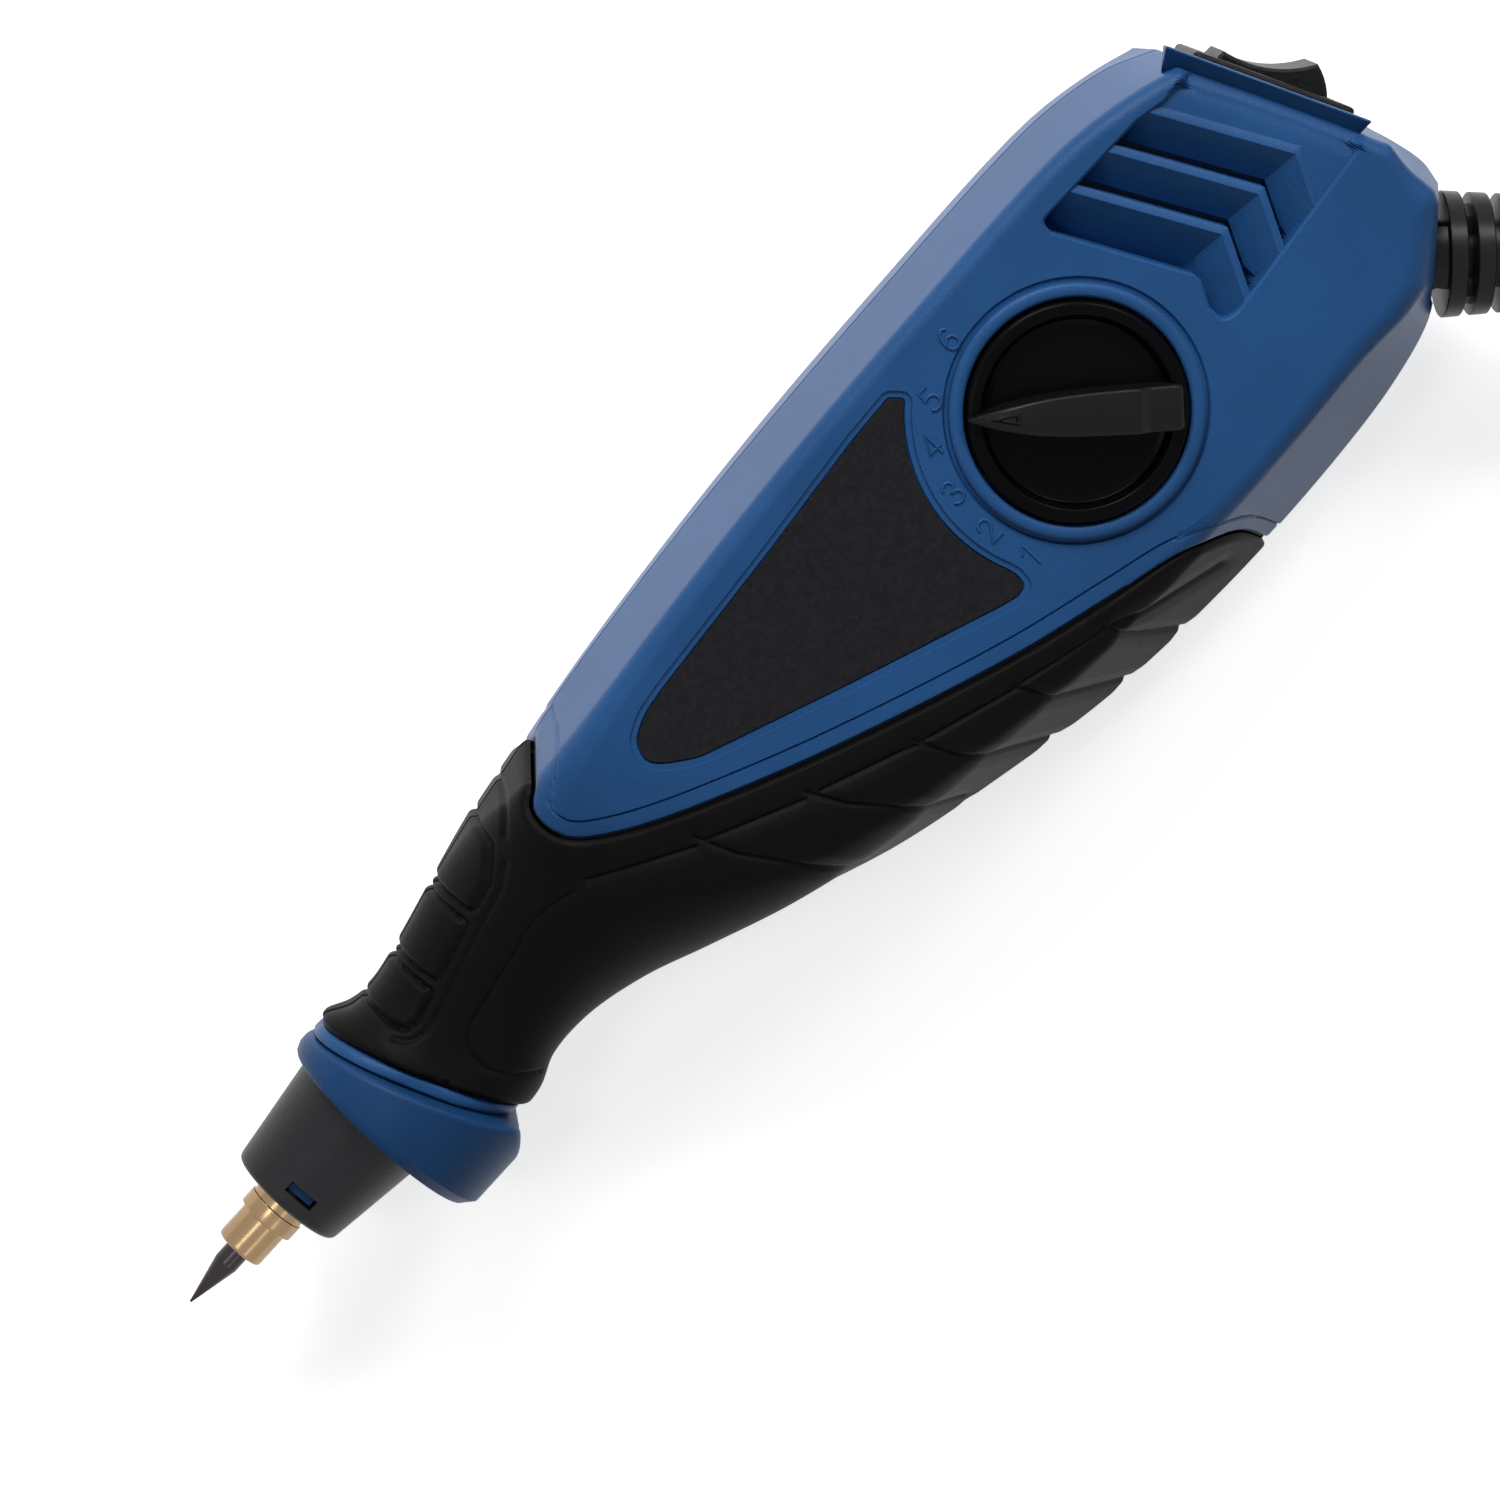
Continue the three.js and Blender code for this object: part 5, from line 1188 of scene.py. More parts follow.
def coil_points():
    """The coil's line: inward in the upper layer, down a step, and outward in the lower layer."""
    inner = COIL_RADIUS - COIL_PITCH * COIL_TURNS / 4
    half = COIL_TURNS / 2
    out = []
    for turn in np.linspace(-half, half, int(COIL_TURNS * CORD_STEPS_PER_TURN)):
        radius = inner + COIL_PITCH * math.hypot(turn, COIL_TURNBACK)
        angle = COIL_START + (turn + half) * math.tau
        drop = float(smoothstep(-CLIMB_HALF_TURN, CLIMB_HALF_TURN, turn))
        out.append((COIL_CENTRE[0] + radius * math.cos(angle),
                    COIL_CENTRE[1] + radius * math.sin(angle),
                    COIL_HEIGHT + COIL_PITCH * (1 - drop)))
    return out


top_layer = COIL_HEIGHT + COIL_PITCH
drop_points = [(x, y, top_layer + (HALF - top_layer) * share) for x, y, share in DROP_ROUTE]
coil = coil_points()
before_coil = spline(np.array(drop_points + [coil[0], coil[1]]), 4)[:-5]
after_coil = spline(np.array([coil[-2], coil[-1]] + PLUG_ROUTE), 4)[5:]
cord_line = np.array([*before_coil, *coil, *after_coil])
cord = wire("mains_cord", [(cord_line + (*RELIEF_END, 0)) * MM], CORD_RADIUS, 6)
cord.data.materials.append(CORD)
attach(cord, "housing")
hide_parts("cord_drop", "cord_coil", "cord_end")


# Housing pieces

SCREWS = [(0.431, 0.16), (0.68, -0.283), (0.68, 0.25), (0.81, 0.255), (0.873, -0.405)]
SCREW_WELL = 2.9
WELL_FLOOR = 4 - HALF
SWITCH_ROOM = (-12, 8)
NECK_ROOM = 9
BEZEL_LENGTH = 19.6
BEZEL_WIDTH = 15.4
BEZEL_HEIGHT = 1.5
NECK_HOLE = 5.5
DIAL_SIDE_SPACING = 1.5
SCREW_SIDE_SPACING = 2.5


def face_frame(rows, indices, place):
    """Centre in plan and outward angle of one of the straight rear faces."""
    start, end = in_mm([rows[k] for k in indices])
    along = end - start
    return start + along * place, math.atan2(along[0], -along[1])


shell_form = Form(SHELL_STRAIGHT, SHELL_ARCS)
dial_shell = skin("dial_side_housing", shell_skin(shell_form, True, dial_face_lines(), DIAL_SIDE_SPACING))
add_wall(dial_shell, SHELL_WALL)
screw_shell = skin("screw_side_housing", shell_skin(shell_form, False, edge_lines(), SCREW_SIDE_SPACING))
add_wall(screw_shell, SHELL_WALL)
mirror_at_parting(screw_shell)
switch_at, switch_angle = face_frame(BACK_ROWS, (17, 19), 0.5)
cord_at, cord_angle = face_frame(BELLY_ROWS, (17, 19), 0.24)
cord_angle -= math.pi
for shell in (dial_shell, screw_shell):
    room = box_mesh(*SWITCH_ROOM, -BEZEL_LENGTH / 2, BEZEL_LENGTH / 2, -BEZEL_WIDTH / 2, BEZEL_WIDTH / 2)
    combine(shell, solid("switch_room", moved(room, switch_angle, switch_at)))
    neck = turned([(-NECK_ROOM, 0), (-NECK_ROOM, NECK_HOLE), (NECK_ROOM, NECK_HOLE), (NECK_ROOM, 0)], 64)
    combine(shell, solid("neck_room", moved(neck, cord_angle, cord_at)))
wells = posts(in_mm(SCREWS), SCREW_WELL, -HALF - 2, WELL_FLOOR)
combine(screw_shell, solid("wells", wells))
finish_piece(dial_shell, "housing", BLUE, ("dial_side_shell",), 27)
finish_piece(screw_shell, "housing", BLUE, ("screw_side_shell",), 27)

grip_form = Form(GRIP_STRAIGHT, GRIP_ARCS)
dial_grip = skin("dial_side_rubber", grip_skin(grip_form))
raise_by_relief(dial_grip, grip_relief)
add_wall(dial_grip, GRIP_WALL)
screw_grip = link("screw_side_rubber", dial_grip.data.copy())
mirror_at_parting(screw_grip)
finish_piece(dial_grip, "housing", RUBBER, ("dial_side_grip",), 38)
finish_piece(screw_grip, "housing", RUBBER, ("screw_side_grip",), 38)

liner_line = seam_liner(grip_form)
for name, side in (("dial_side_liner", 1), ("screw_side_liner", -1)):
    liner = solid_wire(name, [to_shared(liner_line * (1, 1, side))], LINER_RADIUS, 2)
    finish_piece(liner, "housing", RUBBER, angle=60)


# Dial, label and digits

LABEL_BOTTOM = HALF - 0.7
LABEL_TOP = HALF - 0.28
label = slab(label_outline, LABEL_BOTTOM, LABEL_TOP, SHARP, 0.1, 3)
piece("bare_label", label, "housing", LABEL, ("label_plate",))

DIGITS = {"1": (130.0, -9.9), "2": (128.8, -4.5), "3": (129.2, 1.3), "4": (131.4, 6.6),
          "5": (135.2, 10.3), "6": (141.5, 13.3)}
# Strokes of the digits in a box one high, from the baseline's start.
DIGIT_STROKES = {
    "1": [[(0, 0.72), (0.3, 1), (0.3, 0)]],
    "2": [[(0, 0.72), (0.06, 0.91), (0.25, 1), (0.47, 0.94), (0.55, 0.75), (0.46, 0.52), (0, 0),
           (0.58, 0)]],
    "3": [[(0.02, 0.82), (0.13, 0.96), (0.3, 1), (0.48, 0.92), (0.53, 0.75), (0.42, 0.57), (0.22, 0.53)],
          [(0.22, 0.53), (0.45, 0.49), (0.58, 0.33), (0.55, 0.13), (0.35, 0), (0.13, 0.03), (0, 0.18)]],
    "4": [[(0.42, 0), (0.42, 1), (0, 0.3), (0.6, 0.3)]],
    "5": [[(0.52, 1), (0.12, 1), (0.06, 0.55), (0.22, 0.62), (0.4, 0.61), (0.55, 0.47), (0.58, 0.28),
           (0.5, 0.09), (0.3, 0), (0.12, 0.03), (0, 0.14)]],
    "6": [[(0.5, 0.88), (0.34, 1), (0.16, 0.92), (0.03, 0.65), (0, 0.35), (0.08, 0.1), (0.28, 0),
           (0.48, 0.08), (0.57, 0.3), (0.48, 0.52), (0.28, 0.6), (0.09, 0.5), (0, 0.33)]],
}
DIGIT_SIZE = 2.75
DIGIT_RADIUS = 0.2
DIGIT_HEIGHT = HALF + 0.05
for digit, (x, y) in DIGITS.items():
    strokes = [to_shared([(x + (u - 0.3) * DIGIT_SIZE, y + (v - 0.5) * DIGIT_SIZE, DIGIT_HEIGHT)
                          for u, v in stroke]) for stroke in DIGIT_STROKES[digit]]
    finish_piece(solid_wire("digit_" + digit, strokes, DIGIT_RADIUS, 3), "housing", BLUE,
                 angle=60)

KNOB_RADIUS = 12.5
DISH_RADIUS = 10.4
KNOB_BOTTOM = HALF - WELL_DEPTH + 0.3
KNOB_FLOOR = KNOB_BOTTOM + 1.9
KNOB_TOP = HALF + 1.6
POINTER_ANGLE = math.radians(-44.2)
# The knob's section as pairs of height and radius, from its underside over the rim into the dish.
knob_profile = rounded(
    [(KNOB_BOTTOM, 0), (KNOB_BOTTOM, KNOB_RADIUS), (KNOB_TOP, KNOB_RADIUS),
     (KNOB_TOP, KNOB_RADIUS - 1.7), (KNOB_FLOOR + 0.2, DISH_RADIUS), (KNOB_FLOOR, DISH_RADIUS - 0.8),
     (KNOB_FLOOR, 0)], [0, 0.3, 0.75, 0.5, 0.4, 0.3, 0], 6)
knob = reordered(turned(knob_profile, 160), (2, 1, 0))
# Stations along the bar: place, half width and top, as heights above the side face.
BAR_STATIONS = [
    (-12.4, 0.2, 2.3), (-11.7, 0.42, 3.0), (-10.4, 0.85, 3.7), (-8.8, 1.25, 4.3), (-7.0, 1.62, 4.6),
    (-5.2, 1.95, 4.7), (-3.2, 2.2, 4.65), (-1.0, 2.38, 4.5), (1.4, 2.5, 4.35), (3.8, 2.56, 4.3),
    (5.6, 2.6, 4.35), (6.6, 2.6, 4.3), (7.2, 2.6, 3.9), (7.8, 2.6, 3.5), (8.6, 2.6, 3.35),
    (9.8, 2.6, 3.3), (11.2, 2.55, 3.2), (11.6, 2.4, 2.9),
]
BAR_EDGE = 0.45
BAR_CROWN = 0.12
BAR_FOOT = KNOB_FLOOR - 0.6 - HALF
ARROW = [(-10.2, 0), (-6.8, -0.72), (-6.8, 0.72)]
ARROW_SLOPE = 0.25
ARROW_DEPTH = 0.22
ARROW_TOP = HALF + 4.6


def bar_mesh():
    """The pointer bar as sections across it, with rounded upper edges."""
    rings = []
    for x, wide, top in spline(BAR_STATIONS, 4):
        edge = min(BAR_EDGE, wide * 0.7)
        arc = [(wide - edge + edge * math.sin(a), top - edge + edge * math.cos(a))
               for a in np.linspace(0, math.pi / 2, 6)]
        crown = [(wide * s, top + BAR_CROWN * (1 - s * s)) for s in (0.0, 0.35)]
        side = crown[1:] + arc + [(wide, BAR_FOOT)]
        ring = [(-u, v) for u, v in side[::-1]] + [crown[0]] + side
        rings.append([(x, u, HALF + v) for u, v in ring])
    return lofted(rings)


def arrow_prism(name, grow, low, high):
    """A prism over the arrow's outline, slanted like the bar, at its place on the dial."""
    centre = np.mean(ARROW, axis=0)
    outline = [centre + (np.array(p) - centre) * grow for p in ARROW]
    prism = lofted([[(x, y, z + (x - ARROW[1][0]) * ARROW_SLOPE) for x, y in outline] for z in (low, high)])
    return solid(name, moved(prism, POINTER_ANGLE, DIAL))


bar = solid("pointer_bar", moved(bar_mesh(), POINTER_ANGLE, DIAL))
arrow = arrow_prism("arrow", 1.0, ARROW_TOP - ARROW_DEPTH - 0.35, ARROW_TOP + 1)
combine(arrow, arrow_prism("arrow_middle", 0.5, ARROW_TOP - ARROW_DEPTH - 1.0, ARROW_TOP + 2))
combine(bar, arrow)
finish_piece(bar, "dial", BAR_BLACK)
piece("dial_disc", moved(knob, 0, DIAL), "dial", KNOB_BLACK, ("dial_knob",))


# Nose, chuck and bit

COLLAR_RADIUS = 13.8
COLLAR_OFFSET = 2.8
COLLAR_FRONT = 0.156 * OVERALL
COLLAR_BORE = 8.6
GUARD_REAR = GRIP_FRONT - 2.1
CHAMFER_LINE = 0.287 * OVERALL
GUARD_SIDES = 220
GUARD_FRONT_ROUND = 1.4
GUARD_REAR_ROUND = 0.9
GUARD_FULL = 0.999
CHAMFER_BLEND = 1.2
GUARD_FRONT_SHARES = np.linspace(1, 0, 8)
GUARD_REAR_SHARES = np.concatenate([np.linspace(0, 0.82, 8), np.linspace(0.84, 1, 10)])


def guard():
    """Ring with a slanted and chamfered rear face and rounded rims."""
    rings = []
    for a in round_angles(GUARD_SIDES):
        way = np.array([math.cos(a), math.sin(a)])
        # The collar's centre is off the bit's axis, so its bore is nearer on one side.
        along = COLLAR_OFFSET * way[0]
        start = along + math.sqrt(along * along - COLLAR_OFFSET ** 2 + COLLAR_BORE ** 2)
        ring = []
        for share in GUARD_FRONT_SHARES:
            reach = start + (COLLAR_RADIUS - start) * share
            x = COLLAR_FRONT + rim_fall(COLLAR_RADIUS - reach, GUARD_FRONT_ROUND, GUARD_FULL)
            ring.append((x, -COLLAR_OFFSET + reach * way[0], reach * way[1]))
        for share in GUARD_REAR_SHARES:
            reach = start + (COLLAR_RADIUS - start) * share
            y = -COLLAR_OFFSET + reach * way[0]
            flat = GUARD_REAR - GRIP_SLOPE * y
            chamfer = CHAMFER_LINE + y
            mix = max(0.0, CHAMFER_BLEND - abs(flat - chamfer)) / CHAMFER_BLEND
            x = min(flat, chamfer) - mix * mix * CHAMFER_BLEND / 4
            x -= rim_fall(COLLAR_RADIUS - reach, GUARD_REAR_ROUND, GUARD_FULL)
            ring.append((x, y, reach * way[1]))
        rings.append(ring)
    return lofted(rings, caps=False, closed=True)


# The guard ring gets the darker copy of the blue plastic, which is painted shade.
piece("guard_ring", guard(), "housing", GUARD_BLUE_PAINTED_SHADE, ("finger_guard",), 35)

SHOULDER_WIDTH = 1.5
SHOULDER_INSET = 0.35
# The shoulder's section as pairs of place along the pen and distance inward.
SHOULDER_STEPS = [(0.0, 1.6), (0.0, 0.35), (0.12, 0.12), (0.35, 0.0), (1.15, 0.0), (1.38, 0.12),
                  (1.5, 0.35), (1.5, 1.6)]


def slanted_loop(form, line, draw_in):
    """The closed section of the form on a line across the pen, drawn in by a distance."""
    back, belly = (form.crossed(form.front, line, span) for span in form.front_spans)
    loop = np.array(back + belly[::-1])
    away = (loop - loop.mean(axis=0) * (1, 1, 0))[:, 1:]
    away *= draw_in / np.linalg.norm(away, axis=1)[:, None]
    loop[:, 1:] -= away
    loop[:, 0] += away[:, 0] * GRIP_SLOPE
    return np.vstack([loop, loop[::-1] * (1, 1, -1)])


loops = [slanted_loop(grip_form, -GAP * 2 - SHOULDER_WIDTH + at, SHOULDER_INSET + inward)
         for at, inward in SHOULDER_STEPS]
piece("neck_shoulder", lofted(loops, caps=False), "housing", BLUE, (), 40)

NOSE_FRONT = 0.086 * OVERALL
NOSE_REAR = 0.171 * OVERALL
NOSE_LIP = 1.2
NOSE_MOUTH = 4.2
NOSE_RADII = (7.2, 9.4)
NOSE_BORE = 6.5
WINDOW_FRONT = NOSE_FRONT + 1.9
WINDOW_LENGTH = 1.4
WINDOW_HALF = 1.9
TAB_PLAY = 0.2
nose_profile = rounded(
    [(NOSE_FRONT + NOSE_LIP, NOSE_MOUTH), (NOSE_FRONT, NOSE_MOUTH), (NOSE_FRONT, NOSE_RADII[0]),
     (NOSE_REAR, NOSE_RADII[1]), (NOSE_REAR, NOSE_BORE), (NOSE_FRONT + NOSE_LIP, NOSE_BORE)],
    [0, 0.25, 0.95, 0.3, 0, 0], 7)
nose = solid("nose_cap", turned(nose_profile, 160, closed=True))
combine(nose, solid("window", box_mesh(WINDOW_FRONT, WINDOW_FRONT + WINDOW_LENGTH,
                                       -WINDOW_HALF, WINDOW_HALF, 5.6, 14)))
# The nose cap gets the lighter copy of the black plastic, which is painted sheen.
finish_piece(nose, "housing", NOSE_BLACK_PAINTED_SHEEN, ("nose_cone",))
tab_outline = box_outline(WINDOW_FRONT + TAB_PLAY, WINDOW_FRONT + WINDOW_LENGTH - TAB_PLAY,
                          TAB_PLAY - WINDOW_HALF, WINDOW_HALF - TAB_PLAY, 0.2, 3)
piece("snap_tab", slab(tab_outline, 4.8, 6.3, SHARP, 0.15, 3), "housing", BLUE)

CHUCK_FRONT = 0.044 * OVERALL
CHUCK_FLANGE = 0.068 * OVERALL
CHUCK_REAR = 0.107 * OVERALL - 1.8
CHUCK_BORE = 1.65
CHUCK_RADIUS = 3.0
FLANGE_LENGTH = 2
FLANGE_EDGE = 3.6
SLEEVE_EDGE = 3.4
SHANK_RADIUS = 2.9
SHANK_REAR = 32.5
GRUB_HOLE = 1.35
chuck_profile = rounded(
    [(CHUCK_FRONT + 3, CHUCK_BORE), (CHUCK_FRONT, CHUCK_BORE), (CHUCK_FRONT, CHUCK_RADIUS),
     (CHUCK_FLANGE, CHUCK_RADIUS), (CHUCK_FLANGE, FLANGE_EDGE),
     (CHUCK_FLANGE + FLANGE_LENGTH, FLANGE_EDGE), (CHUCK_FLANGE + FLANGE_LENGTH, SLEEVE_EDGE),
     (CHUCK_REAR, SLEEVE_EDGE), (CHUCK_REAR, SHANK_RADIUS), (SHANK_REAR, SHANK_RADIUS),
     (SHANK_REAR, 0)],
    [0, 0.12, 0.42, 0.1, 0.22, 0.22, 0.05, 0.2, 0, 0, 0], 5)
chuck = solid("collet_sleeve", turned(chuck_profile, 128))
combine(chuck, solid("grub_hole", posts([(CHUCK_FRONT + 2.2, 0)], GRUB_HOLE, -8, 0)))
finish_piece(chuck, "plunger", BRASS, ("chuck",))
BIT_RADIUS = 1.5
BIT_POINT = (0.05, 0.12)
BIT_CONE_END = 6.2
BIT_REAR = 30
bit_profile = rounded(
    [(BIT_POINT[0], 0), BIT_POINT, (BIT_CONE_END, BIT_RADIUS), (BIT_REAR, BIT_RADIUS), (BIT_REAR, 0)],
    [0, 0.05, 0.6, 0.1, 0], 5)
piece("carbide_bit", turned(bit_profile, 96), "plunger", CARBIDE, ("engraving_bit",))


# Switch and strain relief

ROCKER_HALF = 5.1
ROCKER_RADIUS = 7.2
ROCKER_PIVOT = 1.0
ROCKER_TILT = math.radians(12)
ROCKER_ARC = (math.radians(-22), math.radians(41))
ROCKER_DISH = 1.2
CASE_HALVES = (9.4, 6.45)
CASE_LEVELS = (-14, 0.6)
WELL_HALVES = (7.5, 5.45)
WELL_LEVELS = (-8.6, 6)
BEZEL_BACK = 0.25


def on_switch_face(shape):
    """A shape given as along the face, up the flank and out of it, put on the switch's face."""
    return moved(reordered(shape, (2, 0, 1)), switch_angle, switch_at)


def rocker_outline():
    """The rocker's side view: two round ends and a dished top."""
    side = [(ROCKER_RADIUS * math.cos(a), ROCKER_RADIUS * math.sin(a))
            for a in np.linspace(*ROCKER_ARC, 10)]
    top_along, top_out = side[-1]
    dish = [(top_along * s, top_out - ROCKER_DISH * (1 - s * s)) for s in np.linspace(1, -1, 22)[1:-1]]
    return anticlockwise(side + dish + [(-u, v) for u, v in side[::-1]])


def plate(halves, corner, levels, rounds):
    """A plate or a hollow on the switch's face."""
    outline = box_outline(-halves[0], halves[0], -halves[1], halves[1], corner)
    return on_switch_face(slab(outline, *levels, *rounds))


bezel_plate = plate((BEZEL_LENGTH / 2, BEZEL_WIDTH / 2), 1.0, (BEZEL_BACK, BEZEL_HEIGHT), (SHARP, 0.55))
bezel = solid("switch_frame", bezel_plate)
combine(bezel, solid("case", plate(CASE_HALVES, 0.5, CASE_LEVELS, (0.3, SHARP))), "UNION")
combine(bezel, solid("well", plate(WELL_HALVES, 0.6, WELL_LEVELS, (0.1, SHARP))))
finish_piece(bezel, "housing", BLACK, ("switch_body",))
rocker = reordered(slab(rocker_outline(), -ROCKER_HALF, ROCKER_HALF, 0.45, 0.45), (1, 0, 2))
rocker = moved(moved(rocker, ROCKER_TILT, (-ROCKER_PIVOT, 0)), switch_angle, switch_at)
piece("rocker_key", rocker, "rocker", BLACK, ("switch_rocker",))

BROW_HALF = 12.3
BROW_SHIFT = 2.5
BROW_LOW = HALF - 4.2
BROW_HIGH = HALF - 0.25
BROW_CUT = 1.4
BROW_CUT_HEIGHT = 1.6
BROW_BACK = -2.2
BROW_FRONT = 0.95
BROW_FOOT = 1.7
BROW_TOP_AT = 0.45
BROW_SLANT = 1.2
BROW_TAPER = 0.6
outline = [(u + BROW_SHIFT, v) for u, v in (
    (-BROW_HALF, BROW_LOW + BROW_CUT_HEIGHT), (-BROW_HALF + BROW_CUT, BROW_LOW),
    (BROW_HALF - BROW_CUT, BROW_LOW), (BROW_HALF, BROW_LOW + BROW_CUT_HEIGHT),
    (BROW_HALF, BROW_HIGH), (-BROW_HALF, BROW_HIGH))]
brow_points, brow_faces = slab(closed_rounded(outline, 0.45), BROW_BACK, BROW_FRONT, 0.2, 0.2)
pts = np.array(brow_points)
above_foot = np.clip((pts[:, 1] - BROW_LOW - BROW_FOOT) / (BROW_HIGH - BROW_LOW - BROW_FOOT), 0, 1)
pts[:, 1] -= np.clip(BROW_TOP_AT - pts[:, 2], 0, 3) * BROW_SLANT * above_foot
pts[:, 0] -= np.sign(pts[:, 0]) * np.clip(-0.5 - pts[:, 2], 0, 2) * BROW_TAPER
piece("switch_brow", on_switch_face((pts, brow_faces)), "housing", BLUE)

RIBS = 12
RIB_START = 0.25
RIB_PITCH = 3.2125
RIB_LENGTH = 2.1
RIB_BEVEL = 0.14
RIB_RADII = (7.3, 4.7)
ROOT_RADII = (5.9, 3.9)
CORE_RADII = (3.75, 3.35)
FLANGE_RADIUS = 6.4
FLANGE_PLACES = (-5.7, -3.7)
NECK_RADIUS = 5.2
TIP_BEVEL = 0.3
WEB_FROM = 0.72
WEB_STEEPNESS = 14
RELIEF_SIDES = 96


def strain_relief():
    """Ribs joined by webs on alternating sides, as a surface of distance from the cord's line."""
    end = RIB_START + RIBS * RIB_PITCH
    behind, before = FLANGE_PLACES
    stations = [(behind, "axis"), (behind, "flange"), (before, "flange"), (before, "neck")]
    for i in range(RIBS):
        front = RIB_START + i * RIB_PITCH
        rear = front + RIB_LENGTH
        stations += [(front - 0.02, "gap"), (front, "rim"), (front + RIB_BEVEL, "rib"), (front + 1.0, "rib"),
                     (rear - RIB_BEVEL, "rib"), (rear, "rim"), (rear + 0.02, "gap")]
    stations += [(end - TIP_BEVEL, "tip"), (end, "tip rim"), (end, "axis")]
    angles = round_angles(RELIEF_SIDES)
    rings = []
    for x, kind in stations:
        share = min(1.0, max(0.0, x / end))
        rib, root, core = (a + (b - a) * share for a, b in (RIB_RADII, ROOT_RADII, CORE_RADII))
        radius = {"axis": 0, "flange": FLANGE_RADIUS, "neck": NECK_RADIUS, "rib": rib,
                  "rim": rib - RIB_BEVEL, "gap": core, "tip": root, "tip rim": root - TIP_BEVEL}[kind]
        radii = np.full(RELIEF_SIDES, float(radius))
        if kind == "gap":
            turn = math.pi / 2 * (int((x - RIB_START + RIB_PITCH * 1.5) // RIB_PITCH) % 2)
            web = np.clip((np.abs(np.cos(angles + turn)) - WEB_FROM) * WEB_STEEPNESS, -1, 1)
            radii += (root - core) * (0.5 + 0.5 * web)
        rings.append([(x, r * math.cos(a), r * math.sin(a)) for r, a in zip(radii, angles)])
    return lofted(rings, caps=False)


relief_piece = piece("cord_sleeve", moved(strain_relief(), cord_angle, cord_at), "housing", CORD,
                     ("strain_relief",), 25)


# Plug

PLUG_HALF = PLUG_ROUTE[-1][2]
PLUG_HALF_WIDTH = 12.2
PLUG_ROUND = 1.6
# One side of the plug from the cord to the blades: place, and width as a share.
PLUG_SIDE = [(-15.0, 0.55), (-17.6, 0.8), (-24.1, 0.78), (-30.6, 0.8), (-34.5, 1), (-42.6, 1)]
SLEEVE_RIBS = 4
SLEEVE_START = -16.5
SLEEVE_FIRST_RIB = -13.6
SLEEVE_PITCH = 3.2
SLEEVE_RADIUS = 5.5
SLEEVE_TAPER = 0.28
SLEEVE_GROOVE = 0.7
BLADE_START = -39.8
BLADE_END = -59.6
BLADE_HALF_WIDTH = 3.1
BLADE_HALF_THICKNESS = 0.75
BLADE_OFFSET = 6.35


def plug_space(shape):
    """A shape given from the cord's entry into the plug, moved into the pen's own frame."""
    entry = np.array([RELIEF_END[0] + PLUG_ROUTE[-1][0], RELIEF_END[1] + PLUG_ROUTE[-1][1], PLUG_HALF])
    return np.asarray(shape[0], dtype=float) + entry - np.array(ORIGIN) / MM, shape[1]


side = [(x, share * PLUG_HALF_WIDTH) for x, share in PLUG_SIDE]
body_outline = closed_rounded(side + [(x, -y) for x, y in side[::-1]], PLUG_ROUND, 5)
body = slab(body_outline, -PLUG_HALF, PLUG_HALF, PLUG_ROUND, PLUG_ROUND, 6)
plug = solid("plug_moulding", plug_space(body))
sleeve_profile = [(SLEEVE_START, 0), (SLEEVE_START, 5.6)]
for k in range(SLEEVE_RIBS):
    at = SLEEVE_FIRST_RIB + k * SLEEVE_PITCH
    wide = SLEEVE_RADIUS - SLEEVE_TAPER * k
    sleeve_profile += [(at - 0.8, wide - SLEEVE_GROOVE), (at - 0.4, wide), (at + 1.4, wide),
                       (at + 1.8, wide - SLEEVE_GROOVE)]
sleeve_profile += [(0, 3.6), (0, 0)]
combine(plug, solid("plug_sleeve", plug_space(turned(sleeve_profile, 64))), "UNION")
finish_piece(plug, "housing", CORD, ("plug_body",), 35)
blade_outline = box_outline(BLADE_END, BLADE_START, -BLADE_HALF_WIDTH, BLADE_HALF_WIDTH,
                            [1.3, 0, 0, 1.3], 5)
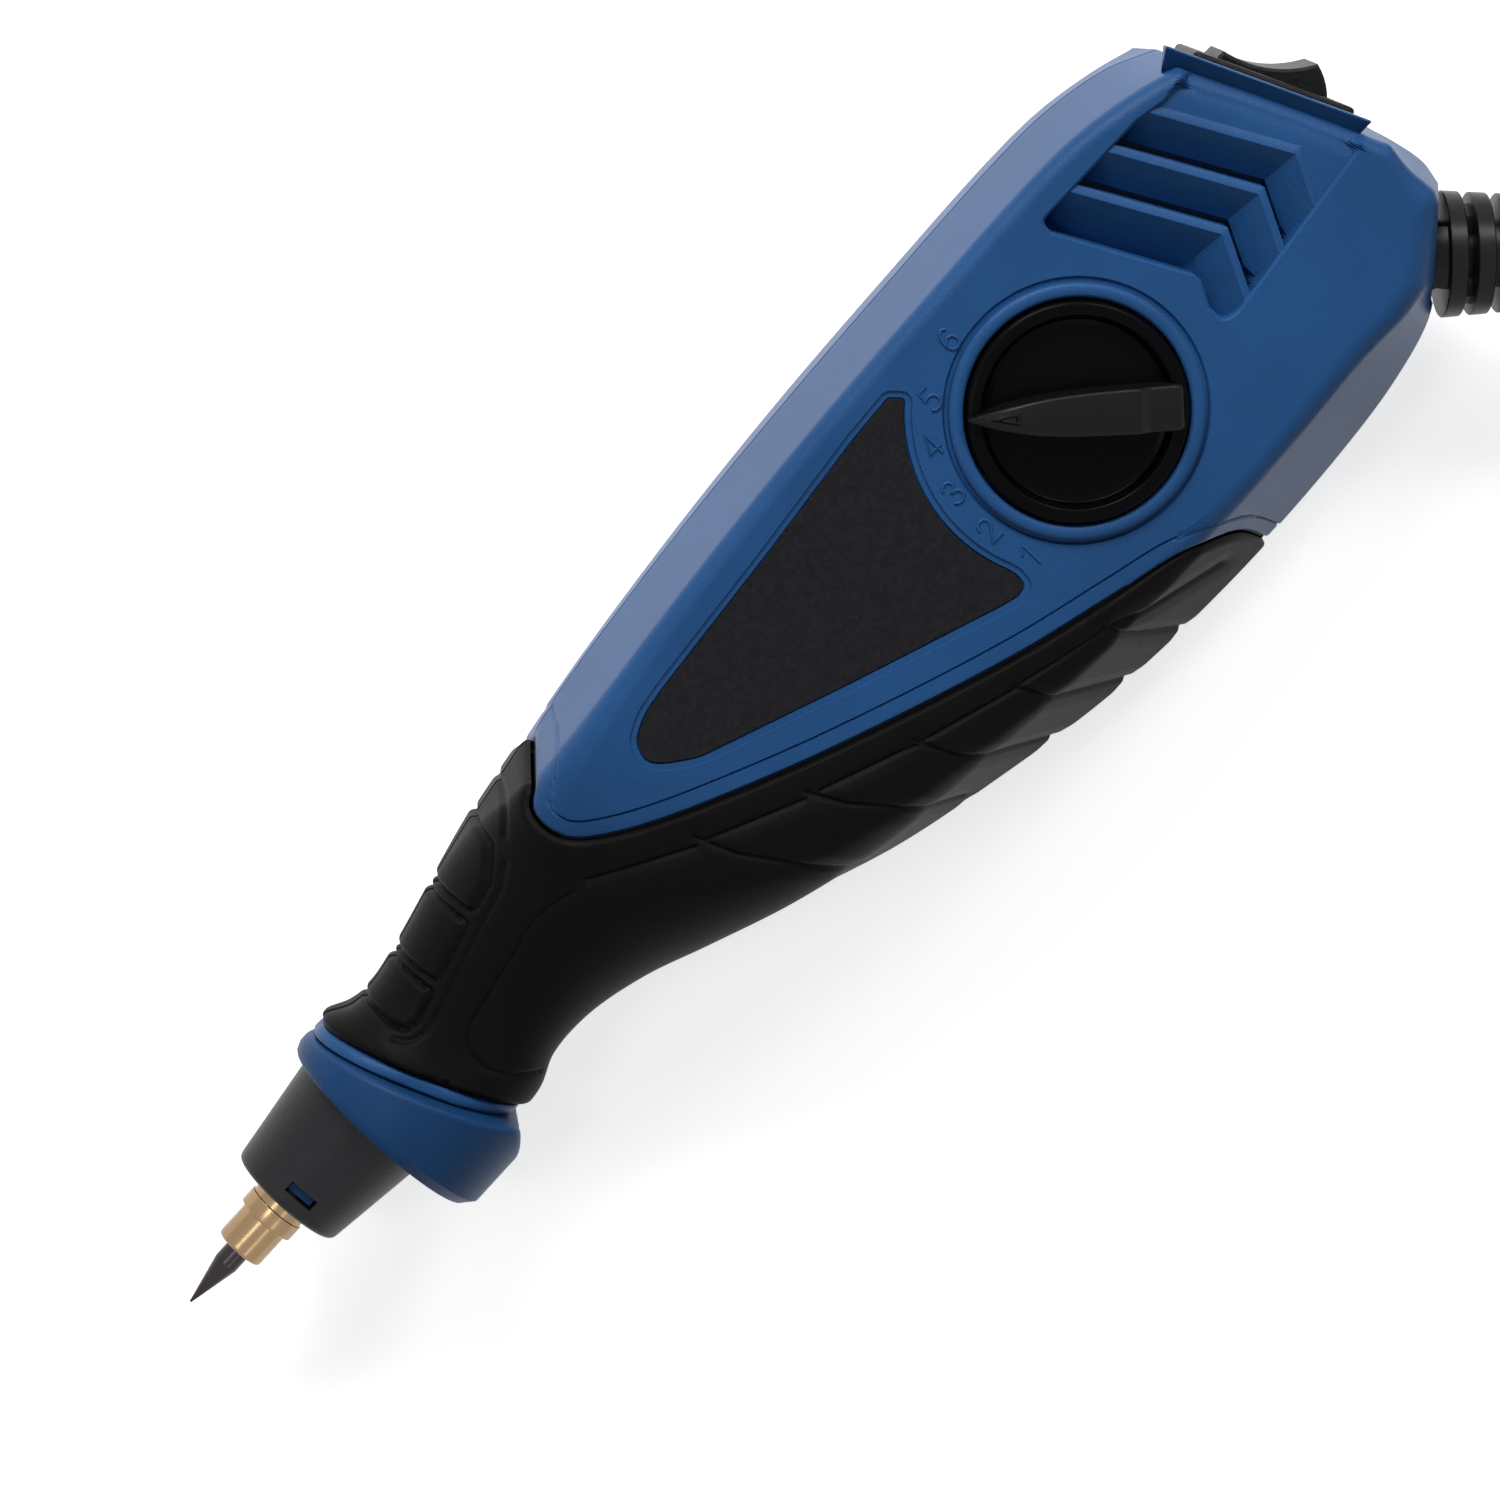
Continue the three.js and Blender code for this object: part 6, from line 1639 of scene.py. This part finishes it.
blade = reordered(slab(blade_outline, -BLADE_HALF_THICKNESS, BLADE_HALF_THICKNESS, 0.15, 0.25, 3), (0, 2, 1))
blades = [piece("blade_" + name, plug_space(moved(blade, 0, (0, offset))), "housing", BRASS,
                ("plug_blade_" + name,))
          for name, offset in (("left", -BLADE_OFFSET), ("right", BLADE_OFFSET))]


# Light and ground

FLOOR_SIZE = 3.0
FLOOR_GLOW = 0.72
WORLD_LIGHT = 0.12
bpy.ops.mesh.primitive_plane_add(size=FLOOR_SIZE, location=(0, 0, -0.0002))
floor = bpy.context.active_object
floor.name = "ground"
floor_material = bpy.data.materials.new("pale_ground")
floor_material.use_nodes = True
tree = floor_material.node_tree
shader = tree.nodes["Principled BSDF"].inputs
shader["Base Color"].default_value = (0.82, 0.82, 0.82, 1)
shader["Roughness"].default_value = 0.9
shader["Emission Color"].default_value = (1, 1, 1, 1)
# The ground glows for the camera and in reflections, so it is white without lighting the pen.
tree.links.new(mapped(tree, ray_sees(tree), 0.0, FLOOR_GLOW), shader["Emission Strength"])
floor.data.materials.append(floor_material)

world = bpy.data.worlds.new("studio")
bpy.context.scene.world = world
world.use_nodes = True
background = world.node_tree.nodes["Background"].inputs
background["Color"].default_value = (0.94, 0.97, 1.0, 1)
strength = mapped(world.node_tree, ray_sees(world.node_tree), WORLD_LIGHT, 1.0)
world.node_tree.links.new(strength, background["Strength"])
# Lamps: name, place, size, power and colour.
LAMPS = [
    ("key", (0.4, 0.66, 0.56), 0.42, 7.0, (1.0, 1.0, 1.0)),
    ("strip", (-0.15, 0.22, 0.62), 0.1, 0.3, (1.0, 0.99, 0.97)),
    ("side", (-0.25, -0.4, 0.7), 0.12, 0.12, (0.97, 0.98, 1.0)),
    ("rear", (0.73, 0.2, 0.6), 0.2, 2.2, (1.0, 0.99, 0.98)),
]
for name, place, size, power, color in LAMPS:
    data = bpy.data.lights.new(name, "AREA")
    data.size = size
    data.energy = power
    data.color = color
    lamp = link(name, data)
    lamp.location = place
    lamp.rotation_euler = (-Vector(place)).to_track_quat("-Z", "Y").to_euler()
bpy.context.scene.view_settings.view_transform = "Standard"
